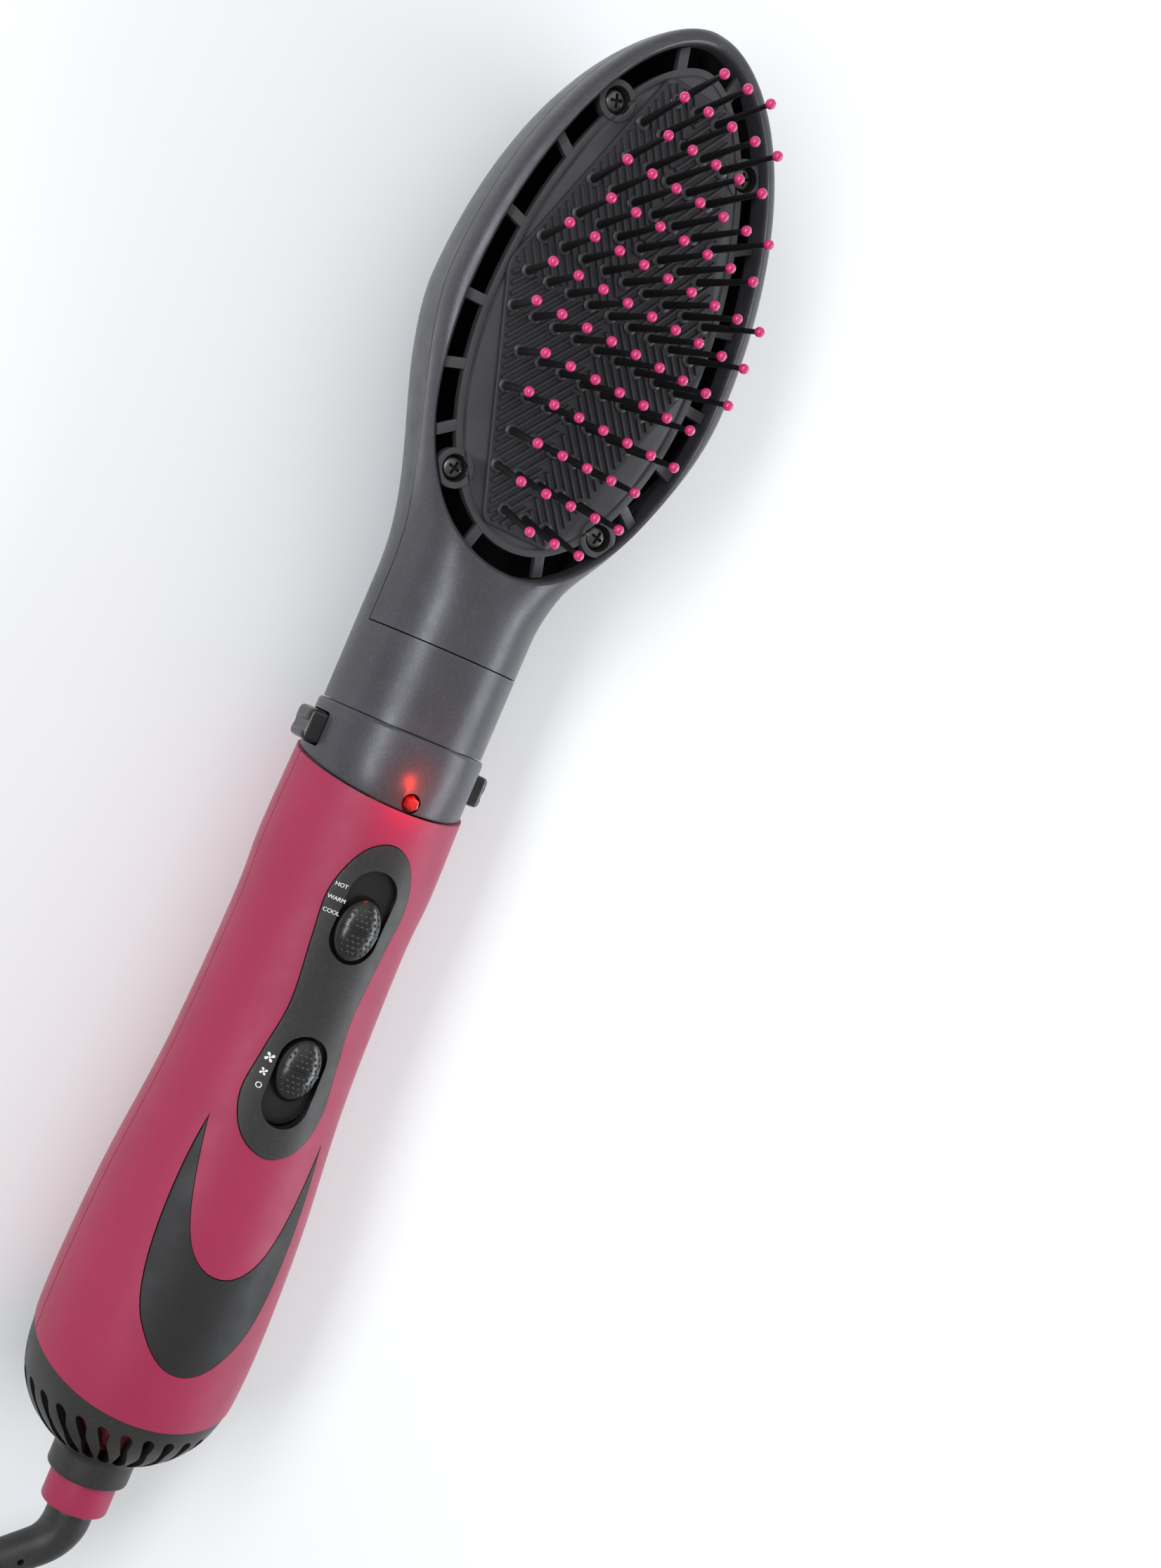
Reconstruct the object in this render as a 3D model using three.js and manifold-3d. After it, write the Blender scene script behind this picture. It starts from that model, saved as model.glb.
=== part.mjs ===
// Hot air brush: a round handle with blower and heater, and a pull-off paddle head with ball-tipped
// bristles. Millimetres. Inside the brush group x runs along the handle's axis, from 0 at the collar's
// top edge towards the head's tip, z points out of the bristle side, and y completes the frame.
// The brush lies on its back, and its cord lies beside its tail in a tied coil.
import * as THREE from 'three';
import { mergeVertices } from 'three/addons/utils/BufferGeometryUtils.js';
import Module from 'manifold-3d';

const wasm = await Module();
wasm.setup();

// ---------- driving dimensions ----------
const REST_DROP = 25.3;          // the axis above the surface that the brush lies on
const GAP = 0.3;                 // air between pieces that meet
const WALL = 2.2;                // shell walls
const FAR = 200;                 // half the size of a cutting block, past everything it cuts

const TIP_X = 171.5;             // the head's tip
const MID_X = 95;                // the head's widest place
const FACE_X = 37;               // the lower end of the head's oval face
const HEAD_HALF_WIDTH = 37.3;
const HEAD_BACK = 25.6;          // depth behind the axis
const RIM_Z = 19.6;              // crown of the rim in front of the axis
const NECK_R = 19.6;
const NECK_COVER_X = 19.7;       // lower edge of the front cover, across the neck
const RIM_INSET = 4;             // outline of the head to the rim's inner edge
const PLATE_INSET = 9;           // outline of the head to the vent plate's edge
const PLATE_TOP = 14.8;
const PLATE_THICK = 2.2;
const PAD_TOP = 16.4;
const PAD_HALF_WIDTH = 27.5;
const PAD_END_HALF_WIDTH = 9;
const PAD_X = [49.5, 157];

const BRISTLE_ROWS = 13;
const BRISTLE_FIRST_X = 54;
const BRISTLE_PITCH = 8.2;
const BRISTLE_SPREAD = 5.6;      // pitch across a row
const BRISTLE_EDGE = 1.2;        // the outermost bristle to the pad's edge, at least
const BRISTLE_LENGTH = 21;
const BRISTLE_FAN = 13;          // lean of the outermost bristles, in degrees

const HEAD_SCREWS = [[146, 18.2], [57.5, 19.6]];

const COLLAR_R = 20.4;
const COLLAR_SEAM = [-13.3, 0.17];   // x on the axis, and how far it drops per mm towards the front
const BASE_SEAM = [-157.3, 0.315];
const BASE_BACK_X = -154.5;      // that seam's level stretch, at the back
const HANDLE_PROFILE = [
  [-8, 20.8], [-33, 21.35], [-50, 20.75], [-86, 21.75],
  [-117, 24.5], [-142, 25.55], [-158, 25.2], [-170, 23.6],
];
const HANDLE_SCREW_X = -150.2;
const CAP_END_X = -180.5;
const CAP_NECK_END_X = -187;
const CAP_NECK_R = 9.75;
const CAP_SLOTS = 26;
const SWIVEL_R = 8;
const SWIVEL_END_X = -195;

const BUTTON_X = [-10.9, -3.4];
const BUTTON_HALF = 4.5;
const BUTTON_TOP_R = 24;
const WINDOW_GAP = 0.4;

const PANEL_OUTLINE = [
  [-24.6, 0], [-28.2, 6.2], [-38, 9.7], [-50, 9], [-65, 7.9], [-77, 9.4], [-88, 10.5], [-96.3, 7.2],
];
const PANEL_END_X = -99.8;
const SLOT_HALF = 5.8;
const HEAT = { slot: [-53.2, -31], button: [-52.9, -37.5] };
const SPEED = { slot: [-92.6, -71], button: [-86.7, -71.3] };
const SLIDER_HALF = 5.25;

// The cord's places are in the whole model's frame: z is up from the surface that it lies on.
const CORD_D = 6.5;
const LEAD = [
  [-208.1, 24.9, 25.3], [-213.3, 32.9, 25.3], [-218.8, 41, 25.2], [-225.6, 49.3, 24], [-233.8, 56.6, 20.4],
  [-238.5, 59.6, 17.6],
];
const COIL = { x: -268.8, y: 18.05, inner: 23, outer: 52.8, low: 0.8, high: 14 };
const TAIL = { fromAngle: 352, toAngle: 532, fromR: 46.6, toR: 38, z: 17.6 };
const PLUG = { width: 34, height: 16, length: 27, relief: 14, pinR: 2.4, pinLength: 19, pinPitch: 19 };

// ---------- colours ----------
const HEAD_GREY = { color: 0x5c5a5d, roughness: 0.55, metalness: 0 };
const TRIM_GREY = { color: 0x3c3b3a, roughness: 0.6, metalness: 0 };
const PINK = { color: 0xb03a62, roughness: 0.65, metalness: 0 };
const BLACK = { color: 0x101011, roughness: 0.25, metalness: 0 };
const RED = { color: 0xc0182a, roughness: 0.2, metalness: 0 };
const MICA = { color: 0xb9b09a, roughness: 0.6, metalness: 0 };
const STEEL = { color: 0xb0b2b5, roughness: 0.35, metalness: 1 };
const BOARD = { color: 0x3d6b45, roughness: 0.6, metalness: 0 };

// ---------- small tools ----------
const sum = (a, b) => a.clone().add(b);
const smooth = (a, b, v) => {
  const t = Math.min(1, Math.max(0, (v - a) / (b - a)));
  return t * t * (3 - 2 * t);
};
const mix = (a, b, t) => a + (b - a) * t;

/** Position-only geometry with shared vertices, its faces pointing out. */
function tidy(source) {
  const bare = new THREE.BufferGeometry();
  bare.setAttribute('position', source.getAttribute('position').clone());
  bare.setIndex(source.index ? source.index.clone() : null);
  const merged = mergeVertices(bare, 1e-4);
  const p = merged.getAttribute('position');
  const [a, b, c] = [0, 1, 2].map(() => new THREE.Vector3());
  const kept = [];
  let volume = 0;
  for (let i = 0; i < merged.index.count; i += 3) {
    const t = [0, 1, 2].map((k) => merged.index.getX(i + k));
    if (new Set(t).size === 3) {
      kept.push(...t);
      [a, b, c].forEach((corner, k) => corner.fromBufferAttribute(p, t[k]));
      volume += a.dot(b.cross(c));
    }
  }
  merged.setIndex(volume > 0 ? kept : kept.reverse());
  return merged;
}

/** A closed geometry as a solid that can be joined and cut. */
function solid(geometry) {
  const g = tidy(geometry);
  const vertProperties = new Float32Array(g.getAttribute('position').array);
  const triVerts = new Uint32Array(g.index.array);
  return new wasm.Manifold(new wasm.Mesh({ numProp: 3, vertProperties, triVerts }));
}

function geometryOf(body) {
  const mesh = body.getMesh();
  const g = new THREE.BufferGeometry();
  g.setAttribute('position', new THREE.BufferAttribute(Float32Array.from(mesh.vertProperties), 3));
  g.setIndex(new THREE.BufferAttribute(Uint32Array.from(mesh.triVerts), 1));
  return g;
}

const join = (bodies) => bodies.reduce((a, b) => a.add(b));

/** A turned shape about the x axis, from [x, radius] points. */
function turned(profile, segments) {
  const points = profile.map(([x, r]) => new THREE.Vector2(r, x));
  return new THREE.LatheGeometry(points, segments).rotateZ(-Math.PI / 2);
}

/** A turned ring or cup: an outline of [x, radius] points that closes on itself. */
const turnedRing = (outline, segments) => turned([...outline, outline[0]], segments);

const tube = (x0, x1, rOut, rIn, segments = 32) =>
  turnedRing([[x0, rIn], [x0, rOut], [x1, rOut], [x1, rIn]], segments);

const rod = (x0, x1, r, segments = 16) => turned([[x0, 0], [x0, r], [x1, r], [x1, 0]], segments);

/** A solid round post standing along z. */
function upright(x, y, z0, z1, r, segments = 12) {
  const g = new THREE.CylinderGeometry(r, r, z1 - z0, segments).rotateX(Math.PI / 2);
  return solid(g.translate(x, y, (z0 + z1) / 2));
}

/** A box from its lowest to its highest corner. */
function block([x0, y0, z0], [x1, y1, z1]) {
  const g = new THREE.BoxGeometry(x1 - x0, y1 - y0, z1 - z0);
  return g.translate((x0 + x1) / 2, (y0 + y1) / 2, (z0 + z1) / 2);
}

/** An outline in the xy plane, pushed from z0 up to z1. */
function pushed(shape, z0, z1, curveSegments = 12) {
  const g = new THREE.ExtrudeGeometry(shape, { depth: z1 - z0, bevelEnabled: false, curveSegments });
  return g.translate(0, 0, z0);
}

const polygon = (points) => new THREE.Shape(points.map(([x, y]) => new THREE.Vector2(x, y)));

/** A slot shape with round ends, lying along x. */
function stadium(x0, x1, half) {
  const s = new THREE.Shape();
  s.absarc(x1 - half, 0, half, -Math.PI / 2, Math.PI / 2);
  s.absarc(x0 + half, 0, half, Math.PI / 2, Math.PI * 1.5);
  return s;
}

/** A skin over rings of equal point counts, closed by a fan at each end. */
function loft(rings) {
  const n = rings[0].length;
  const points = rings.flat();
  const index = [];
  for (let i = 0; i + 1 < rings.length; i += 1) {
    for (let j = 0; j < n; j += 1) {
      const [a, b] = [i * n + j, i * n + ((j + 1) % n)];
      index.push(a, b, b + n, a, b + n, a + n);
    }
  }
  for (const [start, flip] of [[0, true], [(rings.length - 1) * n, false]]) {
    const ring = points.slice(start, start + n);
    const centre = points.push(ring.reduce(sum, new THREE.Vector3()).divideScalar(n)) - 1;
    for (let j = 0; j < n; j += 1) {
      const [a, b] = [start + j, start + ((j + 1) % n)];
      index.push(...(flip ? [centre, b, a] : [centre, a, b]));
    }
  }
  const g = new THREE.BufferGeometry().setFromPoints(points);
  g.setIndex(index);
  return g;
}

/** Everything on the tip side of a plane across the axis, which leans back by slope towards the front. */
function beyond(x, slope) {
  const half = new THREE.BoxGeometry(2 * FAR, 2 * FAR, 2 * FAR).translate(FAR, 0, 0);
  return solid(half.rotateY(-Math.atan(slope)).translate(x, 0, 0));
}

/** Everything on the tip side of the grip's seam with the inlet cap. */
const aboveBase = (lift) => beyond(BASE_SEAM[0] + lift, BASE_SEAM[1]).add(beyond(BASE_BACK_X + lift, 0));

const below = (z) => solid(block([-2 * FAR, -FAR, z - FAR], [2 * FAR, FAR, z]));

/** A solid round tube of changing radius along a curve. */
function sweep(curve, radiusAt, steps, sides) {
  const frames = curve.computeFrenetFrames(steps, false);
  const rings = [];
  for (let i = 0; i <= steps; i += 1) {
    const centre = curve.getPointAt(i / steps);
    const ring = [];
    for (let j = 0; j < sides; j += 1) {
      const a = (j / sides) * Math.PI * 2;
      const out = frames.normals[i].clone().multiplyScalar(Math.cos(a));
      out.addScaledVector(frames.binormals[i], Math.sin(a));
      ring.push(centre.clone().addScaledVector(out, radiusAt(i / steps)));
    }
    rings.push(ring);
  }
  return loft(rings);
}

// ---------- the assembly ----------
const model = new THREE.Group();
const brush = new THREE.Group();
brush.position.set(-(TIP_X + SWIVEL_END_X) / 2, 0, REST_DROP);
model.add(brush);

function place(name, shape, look, parent = brush) {
  const geometry = shape.isBufferGeometry ? tidy(shape) : geometryOf(shape);
  const mesh = new THREE.Mesh(geometry, new THREE.MeshStandardMaterial(look));
  mesh.name = name;
  parent.add(mesh);
  return mesh;
}

// ---------- the head ----------
/** Half the width of the oval face at angle a from the tip, as [x, y]. */
function facePoint(a, inset) {
  const long = Math.cos(a) > 0 ? TIP_X - MID_X : MID_X - FACE_X;
  const power = Math.cos(a) > 0 ? 1.12 : 0.96;
  const side = Math.sign(Math.sin(a)) * Math.abs(Math.sin(a)) ** power;
  return [MID_X + (long - inset) * Math.cos(a), (HEAD_HALF_WIDTH - inset) * side];
}

function faceOutline(inset, count = 28) {
  return polygon(Array.from({ length: count }, (_, i) => facePoint((i / count) * Math.PI * 2, inset)));
}

/** Height of the seam between the head's two shells. */
const seamZ = (x) => 3 + 8 * smooth(28, 92, x) + 1.5 * smooth(110, TIP_X, x);

/** One closed section of the head's skin, drawn in by inset. */
function headRing(x, inset, count) {
  const u = Math.max(0, (x - MID_X) / (TIP_X - MID_X - inset));
  const shrink = (1 - Math.min(u, 0.999) ** 2) ** 0.56;
  const depthShrink = (1 - Math.min(u, 0.999) ** 3.5) ** 0.65;
  const grow = smooth(30, 97, x) ** 1.15;
  const v = Math.min(1, Math.max(0, (MID_X - x) / (MID_X - FACE_X)));
  const oval = HEAD_HALF_WIDTH * (1 - v * v) ** 0.48;
  const level = 11 * smooth(25, 90, x) + 2 * u;
  const side = (mix(NECK_R, HEAD_HALF_WIDTH, grow) - inset) * shrink;
  const rim = ((NECK_R ** 8 + oval ** 8) ** 0.125 - inset) * shrink;
  const crown = (RIM_Z - 11 * smooth(25, 90, x) - inset) * Math.sqrt(1 - Math.min(u, 0.999) ** 4);
  const depth = (mix(NECK_R, HEAD_BACK, smooth(20, 80, x)) + 11 * smooth(25, 90, x) - inset) * depthShrink;
  const crownPower = mix(2, 4, smooth(30, 62, x));
  const backPower = mix(2, 2.3, smooth(30, 80, x));
  return Array.from({ length: count }, (_, j) => {
    const a = (j / count) * Math.PI * 2;
    const [c, s] = [Math.cos(a), Math.sin(a)];
    const power = s > 0 ? crownPower : backPower;
    const across = Math.sign(c) * Math.abs(c) ** (2 / power);
    const up = Math.abs(s) ** (2 / power);
    const wide = s > 0 ? mix(side, rim, up) : side;
    return new THREE.Vector3(x, wide * across, level + (s > 0 ? crown * up : -depth * up));
  });
}

function headSkin(x0, inset, count, steps) {
  const rings = [headRing(x0, inset, count)];
  for (let i = 0; i <= steps; i += 1) {
    rings.push(headRing(mix(20, MID_X, i / steps), inset, count));
  }
  for (let i = 1; i <= steps; i += 1) {
    const u = Math.sin((i / steps) * Math.PI / 2) * 0.999;
    rings.push(headRing(MID_X + (TIP_X - MID_X - inset) * u, inset, count));
  }
  return solid(loft(rings));
}

/** Everything in front of the seam surface, from x0 to past the tip, raised by lift. */
function frontOfSeam(x0, lift) {
  const points = [[x0, 60], [x0, seamZ(x0) + lift]];
  for (let i = 1; i <= 10; i += 1) {
    const x = mix(x0, TIP_X + 5, i / 10);
    points.push([x, seamZ(x) + lift]);
  }
  points.push([TIP_X + 5, 60]);
  return solid(pushed(polygon(points), -60, 60).rotateX(Math.PI / 2));
}

function headShells() {
  const outer = headSkin(0, 0, 24, 8);
  const hollow = headSkin(-1, WALL, 16, 6);
  const skin = outer.subtract(hollow);
  const opening = solid(pushed(faceOutline(RIM_INSET), PLATE_TOP - 8, 60));
  const skirt = solid(pushed(faceOutline(RIM_INSET - 3.2), 11.5, RIM_Z)).intersect(outer);
  const front = skin.add(skirt).subtract(opening).intersect(frontOfSeam(NECK_COVER_X + GAP, GAP / 2));
  const spigot = solid(tube(-10, 2, 17.9, 16.4, 28));
  const latchSlots = solid(block([-12, -30, -7], [-1.2, 30, 7]));
  const postTop = PLATE_TOP - PLATE_THICK - GAP;
  const posts = join(screwPlaces().map(([x, y]) => upright(x, y, postTop - 40, postTop, 3.1, 8)));
  const bores = join(screwPlaces().map(([x, y]) => upright(x, y, 3, 15, 1.5, 8)));
  const rear = skin.subtract(frontOfSeam(NECK_COVER_X, -GAP / 2))
    .add(spigot.subtract(latchSlots))
    .add(posts.intersect(outer).subtract(frontOfSeam(FACE_X, 40)))
    .subtract(bores)
    .subtract(below(-REST_DROP));
  return { front, rear };
}

const screwPlaces = () => HEAD_SCREWS.flatMap(([x, y]) => [[x, y], [x, -y]]);

function ventPlate() {
  const [z0, z1] = [PLATE_TOP - PLATE_THICK, PLATE_TOP];
  const ribs = [];
  for (const degrees of [16, 58, 75, 92, 109, 126, 164]) {
    for (const side of [1, -1]) {
      const a = THREE.MathUtils.degToRad(degrees * side);
      const [inner, outer] = [facePoint(a, PLATE_INSET + 3), facePoint(a, RIM_INSET + GAP)];
      const turn = Math.atan2(outer[1] - inner[1], outer[0] - inner[0]);
      const length = Math.hypot(outer[0] - inner[0], outer[1] - inner[1]);
      const rib = new THREE.BoxGeometry(length + 2, 2.6, z1 - z0).translate(length / 2, 0, (z0 + z1) / 2);
      ribs.push(solid(rib.rotateZ(turn).translate(inner[0], inner[1], 0)));
    }
  }
  const bosses = screwPlaces().map(([x, y]) => upright(x, y, z0, z1, 4.4, 14));
  const seats = screwPlaces().map(([x, y]) => upright(x, y, z1 - 1.3, z1 + 1.3, 3));
  const holes = screwPlaces().map(([x, y]) => upright(x, y, z0 - 1, z1 + 1, 1.6, 8));
  return solid(pushed(faceOutline(PLATE_INSET), z0, z1))
    .add(join(ribs))
    .add(join(bosses))
    .intersect(solid(pushed(faceOutline(RIM_INSET + GAP), z0 - 1, z1 + 1)))
    .subtract(join(seats))
    .subtract(join(holes));
}

function headScrew([x, y]) {
  const top = PLATE_TOP + 0.2;
  const outline = [[-9, 0], [-8, 1.2], [-1.2, 1.2], [-1.2, 2.6], [-0.4, 2.6], [0, 1.9], [0, 0]];
  const body = solid(turned(outline, 12));
  const across = solid(block([-0.8, -1.4, -0.3], [1, 1.4, 0.3]));
  const cross = across.add(solid(block([-0.8, -0.3, -1.4], [1, 0.3, 1.4])));
  return geometryOf(body.subtract(cross)).rotateY(-Math.PI / 2).translate(x, y, top);
}

/** Half the pad's width at x: an elongated hexagon with clipped ends. */
function padHalf(x) {
  const [x0, x1] = PAD_X;
  const middle = (x0 + x1) / 2;
  return mix(PAD_END_HALF_WIDTH, PAD_HALF_WIDTH, 1 - Math.abs(x - middle) / (middle - x0));
}

/** The bristles' base points, each with its lean along and across. */
function bristlePlaces() {
  const places = [];
  const centre = BRISTLE_FIRST_X + ((BRISTLE_ROWS - 1) * BRISTLE_PITCH) / 2;
  for (let row = 0; row < BRISTLE_ROWS; row += 1) {
    const x = BRISTLE_FIRST_X + row * BRISTLE_PITCH;
    const side = Math.floor((padHalf(x) - BRISTLE_EDGE) / BRISTLE_SPREAD);
    for (let i = -side; i <= side; i += 1) {
      const y = i * BRISTLE_SPREAD;
      const leanX = (BRISTLE_FAN * (x - centre)) / (BRISTLE_PITCH * BRISTLE_ROWS * 0.5);
      places.push({ x, y, leanX, leanY: (BRISTLE_FAN * y) / PAD_HALF_WIDTH });
    }
  }
  return places;
}

function bristlePad() {
  const [x0, x1] = PAD_X;
  const middle = (x0 + x1) / 2;
  const outline = [[x0, padHalf(x0)], [middle, padHalf(middle)], [x1, padHalf(x1)]];
  const mirrored = outline.map(([x, y]) => [x, -y]).reverse();
  const pad = solid(pushed(polygon([...outline, ...mirrored]), PLATE_TOP + GAP, PAD_TOP));
  const [neck, ball] = [BRISTLE_LENGTH - 2, BRISTLE_LENGTH - 0.9];
  const pin = turned([[-1, 0], [-1, 0.95], [neck, 0.6], [ball, 1.2], [BRISTLE_LENGTH, 0]], 5);
  const pins = bristlePlaces().map(({ x, y, leanX, leanY }) => {
    const g = pin.clone().rotateY(-Math.PI / 2);
    g.rotateX(THREE.MathUtils.degToRad(-leanY)).rotateY(THREE.MathUtils.degToRad(leanX));
    return solid(g.translate(x, y, PAD_TOP));
  });
  return pad.add(join(pins));
}

function addHead() {
  const { front, rear } = headShells();
  place('head_front_cover', front, HEAD_GREY);
  place('head_rear_shell', rear, HEAD_GREY);
  place('vent_plate', ventPlate(), HEAD_GREY);
  place('bristle_pad', bristlePad(), TRIM_GREY);
  screwPlaces().forEach((at, i) => place(`head_screw_${i + 1}`, headScrew(at), STEEL));
}

// ---------- the handle ----------
const handleCurve = new THREE.SplineCurve(HANDLE_PROFILE.map(([x, r]) => new THREE.Vector2(x, r)));

/** A turned layer that follows the grip's outside, from offset inner to offset outer. */
function gripLayer(inner, outer, segments = 32) {
  const line = handleCurve.getPoints(9).map((p) => [p.x, p.y]);
  const outside = line.map(([x, r]) => [x, r + outer]);
  const inside = line.map(([x, r]) => [x, r + inner]).reverse();
  return solid(turnedRing([...outside, ...inside], segments));
}

/** A closed outline through half of its points, mirrored across the x axis. */
function mirroredOutline(half, end, count) {
  const lower = half.slice(1).map(([x, y]) => [x, -y]).reverse();
  const points = [...half, [end, 0], ...lower].map(([x, y]) => new THREE.Vector3(x, y, 0));
  return new THREE.CatmullRomCurve3(points, true).getPoints(count).slice(0, -1).map((p) => [p.x, p.y]);
}

const panelOutline = () => mirroredOutline(PANEL_OUTLINE, PANEL_END_X, 32);

/** A closed outline moved inwards by d. */
function insetOutline(points, d) {
  const turn = Math.sign(THREE.ShapeUtils.area(points.map(([x, y]) => new THREE.Vector2(x, y))));
  const n = points.length;
  return points.map(([x, y], i) => {
    const [before, after] = [points[(i + n - 1) % n], points[(i + 1) % n]];
    const normals = [[before, [x, y]], [[x, y], after]].map(([a, b]) => {
      const length = Math.hypot(b[0] - a[0], b[1] - a[1]);
      return [(-turn * (b[1] - a[1])) / length, (turn * (b[0] - a[0])) / length];
    });
    const [nx, ny] = [normals[0][0] + normals[1][0], normals[0][1] + normals[1][1]];
    const reach = Math.min(2.5, 2 / (nx * nx + ny * ny));
    return [x + nx * d * reach, y + ny * d * reach];
  });
}

/** The U-shaped inlay's outline: a broad round base and two arms that run to points. */
function inlayOutline() {
  const s = new THREE.Shape();
  s.moveTo(-94.5, 14.2);
  s.bezierCurveTo(-110, 16.8, -133, 17.2, -141.4, 12.5);
  s.bezierCurveTo(-148.4, 8.4, -151.3, 4.4, -151.3, 0);
  s.bezierCurveTo(-151.3, -4.4, -148.4, -8.4, -141.4, -12.5);
  s.bezierCurveTo(-133, -17.2, -110, -16.8, -94.5, -14.2);
  s.bezierCurveTo(-102, -13.5, -115.8, -12.2, -122.3, -8.5);
  s.bezierCurveTo(-126.4, -6, -127.8, -3, -127.8, 0);
  s.bezierCurveTo(-127.8, 3, -126.4, 6, -122.3, 8.5);
  s.bezierCurveTo(-115.8, 12.2, -102, 13.5, -94.5, 14.2);
  return s.getPoints(4).slice(0, -1).map((p) => [p.x, p.y]);
}

function handleShells() {
  const shell = gripLayer(-WALL, 0)
    .subtract(beyond(COLLAR_SEAM[0] - GAP, COLLAR_SEAM[1]))
    .intersect(aboveBase(GAP / 2));
  const window = solid(pushed(polygon(panelOutline()), 5, 40));
  const recess = gripLayer(-1.1, 1).intersect(solid(pushed(polygon(inlayOutline()), 5, 40)));
  const lampSeat = solid(rod(0, 12, 2.3).rotateY(-Math.PI / 2).translate(-14.6, 0, 14));
  const front = shell.intersect(solid(block([-400, -60, GAP / 2], [400, 60, 60])))
    .subtract(window)
    .subtract(recess)
    .subtract(lampSeat);
  const post = upright(HANDLE_SCREW_X, 0, -11, 24, 2.8, 10);
  const bore = upright(HANDLE_SCREW_X, 0, -16, 0, 1.6, 8);
  const screwHole = upright(HANDLE_SCREW_X, 0, -30, -18, 3.2);
  const rear = shell.intersect(solid(block([-400, -60, -60], [400, 60, -GAP / 2])))
    .subtract(screwHole)
    .subtract(below(-REST_DROP));
  return { front: front.add(post).subtract(bore), rear };
}

function switchPanel() {
  const hole = ({ slot: [x0, x1] }) => solid(pushed(stadium(x0, x1, SLOT_HALF), 5, 40, 5));
  const slots = [HEAT, SPEED].map(hole);
  const prism = solid(pushed(polygon(insetOutline(panelOutline(), GAP)), 5, 40));
  return gripLayer(-WALL, 0.25).intersect(prism).subtract(join(slots));
}

/** A slider: an oval dome on a foot that is wider than its slot, with a short stem to the switch. */
function slider({ button: [x0, x1] }) {
  const centre = (x0 + x1) / 2;
  const half = (x1 - x0) / 2;
  const dome = new THREE.SphereGeometry(1, 16, 8).scale(half, SLIDER_HALF, 3.6).translate(centre, 0, 19.9);
  const waist = new THREE.CylinderGeometry(1, 1, 4.6, 16).rotateX(Math.PI / 2);
  waist.scale(half, SLIDER_HALF, 1).translate(centre, 0, 17.7);
  const foot = block([x0 - 1.6, -7, 15.4], [x1 + 1.6, 7, 16.2]);
  const stem = block([centre - 1.5, -1, 14.7], [centre + 1.5, 1, 15.8]);
  return solid(dome).add(solid(waist)).subtract(below(15.6)).add(solid(foot)).add(solid(stem));
}

function collarRing() {
  const ring = solid(tube(-19, -GAP, COLLAR_R, 18.6, 36)).intersect(beyond(COLLAR_SEAM[0], COLLAR_SEAM[1]));
  const half = BUTTON_HALF + WINDOW_GAP;
  const windows = solid(block([BUTTON_X[0] - WINDOW_GAP, -40, -half], [BUTTON_X[1] + WINDOW_GAP, 40, half]));
  const lampSeat = solid(rod(0, 12, 2.3).rotateY(-Math.PI / 2).translate(-14.6, 0, 14));
  return ring.subtract(windows).subtract(lampSeat);
}

/** The button on side 1 (left) or -1: a block, its flange inside the collar, and a post for its spring. */
function releaseButton(side) {
  const [x0, x1] = BUTTON_X;
  const h = BUTTON_HALF;
  const crown = block([x0, -h, 17], [x1, h, BUTTON_TOP_R - 1]);
  const top = block([x0 + 0.8, -h + 0.8, BUTTON_TOP_R - 1.2], [x1 - 0.8, h - 0.8, BUTTON_TOP_R]);
  const flange = tube(x0 - 1.4, x1 + 1.4, 18.2, 16.9, 36);
  const flangeSide = solid(flange).intersect(solid(block([-30, -6, 0], [30, 6, 40])));
  const post = upright((x0 + x1) / 2, 0, 16.2, 17.4, 0.9, 8);
  const body = solid(crown).add(solid(top)).add(flangeSide).add(post);
  return geometryOf(body).rotateX(-side * Math.PI / 2);
}

function latchSpring(side) {
  const x = (BUTTON_X[0] + BUTTON_X[1]) / 2;
  const turns = 3;
  const points = Array.from({ length: turns * 8 + 1 }, (_, i) => {
    const a = (i / 8) * Math.PI * 2;
    return new THREE.Vector3(x + 1.9 * Math.cos(a), 1.9 * Math.sin(a), mix(14, 16.3, i / (turns * 8)));
  });
  const wire = new THREE.CatmullRomCurve3(points);
  return sweep(wire, () => 0.22, turns * 8, 4).rotateX(-side * Math.PI / 2);
}

function inletCap() {
  const outside = [
    [-150, 25.3], [-156, 25.1], [-163, 24.3], [-169, 22.4], [-174, 19], [-177.6, 15],
    [CAP_END_X, CAP_NECK_R + 0.6], [CAP_END_X - 1, CAP_NECK_R],
    [CAP_NECK_END_X + 0.8, CAP_NECK_R], [CAP_NECK_END_X, CAP_NECK_R - 0.8],
  ];
  const inside = [
    [CAP_NECK_END_X, 6.8], [-178.7, 6.8], [-178, 9], [-175.4, 14], [-172, 17.6], [-167.4, 20.6],
    [-161.6, 22.4], [-150, 23],
  ];
  const cap = solid(turnedRing([...outside, ...inside], 36)).subtract(aboveBase(-GAP / 2));
  const slots = [];
  for (let i = 0; i < CAP_SLOTS; i += 1) {
    const slot = new THREE.BoxGeometry(10, 2.3, 9).rotateX(0.2).translate(-173.2, 0, 18.6);
    slots.push(solid(slot.rotateX(((i + 0.5) / CAP_SLOTS) * Math.PI * 2)));
  }
  return cap.subtract(join(slots)).subtract(below(-REST_DROP));
}

function inletFilter() {
  return turnedRing([
    [-162, 21.4], [-167.2, 19.7], [-171.6, 16.6], [-174.8, 13], [-176.4, 10.4],
    [-175.6, 10.4], [-174, 12.8], [-170.8, 16.1], [-166.6, 19], [-162, 20.5],
  ], 24);
}

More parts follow.
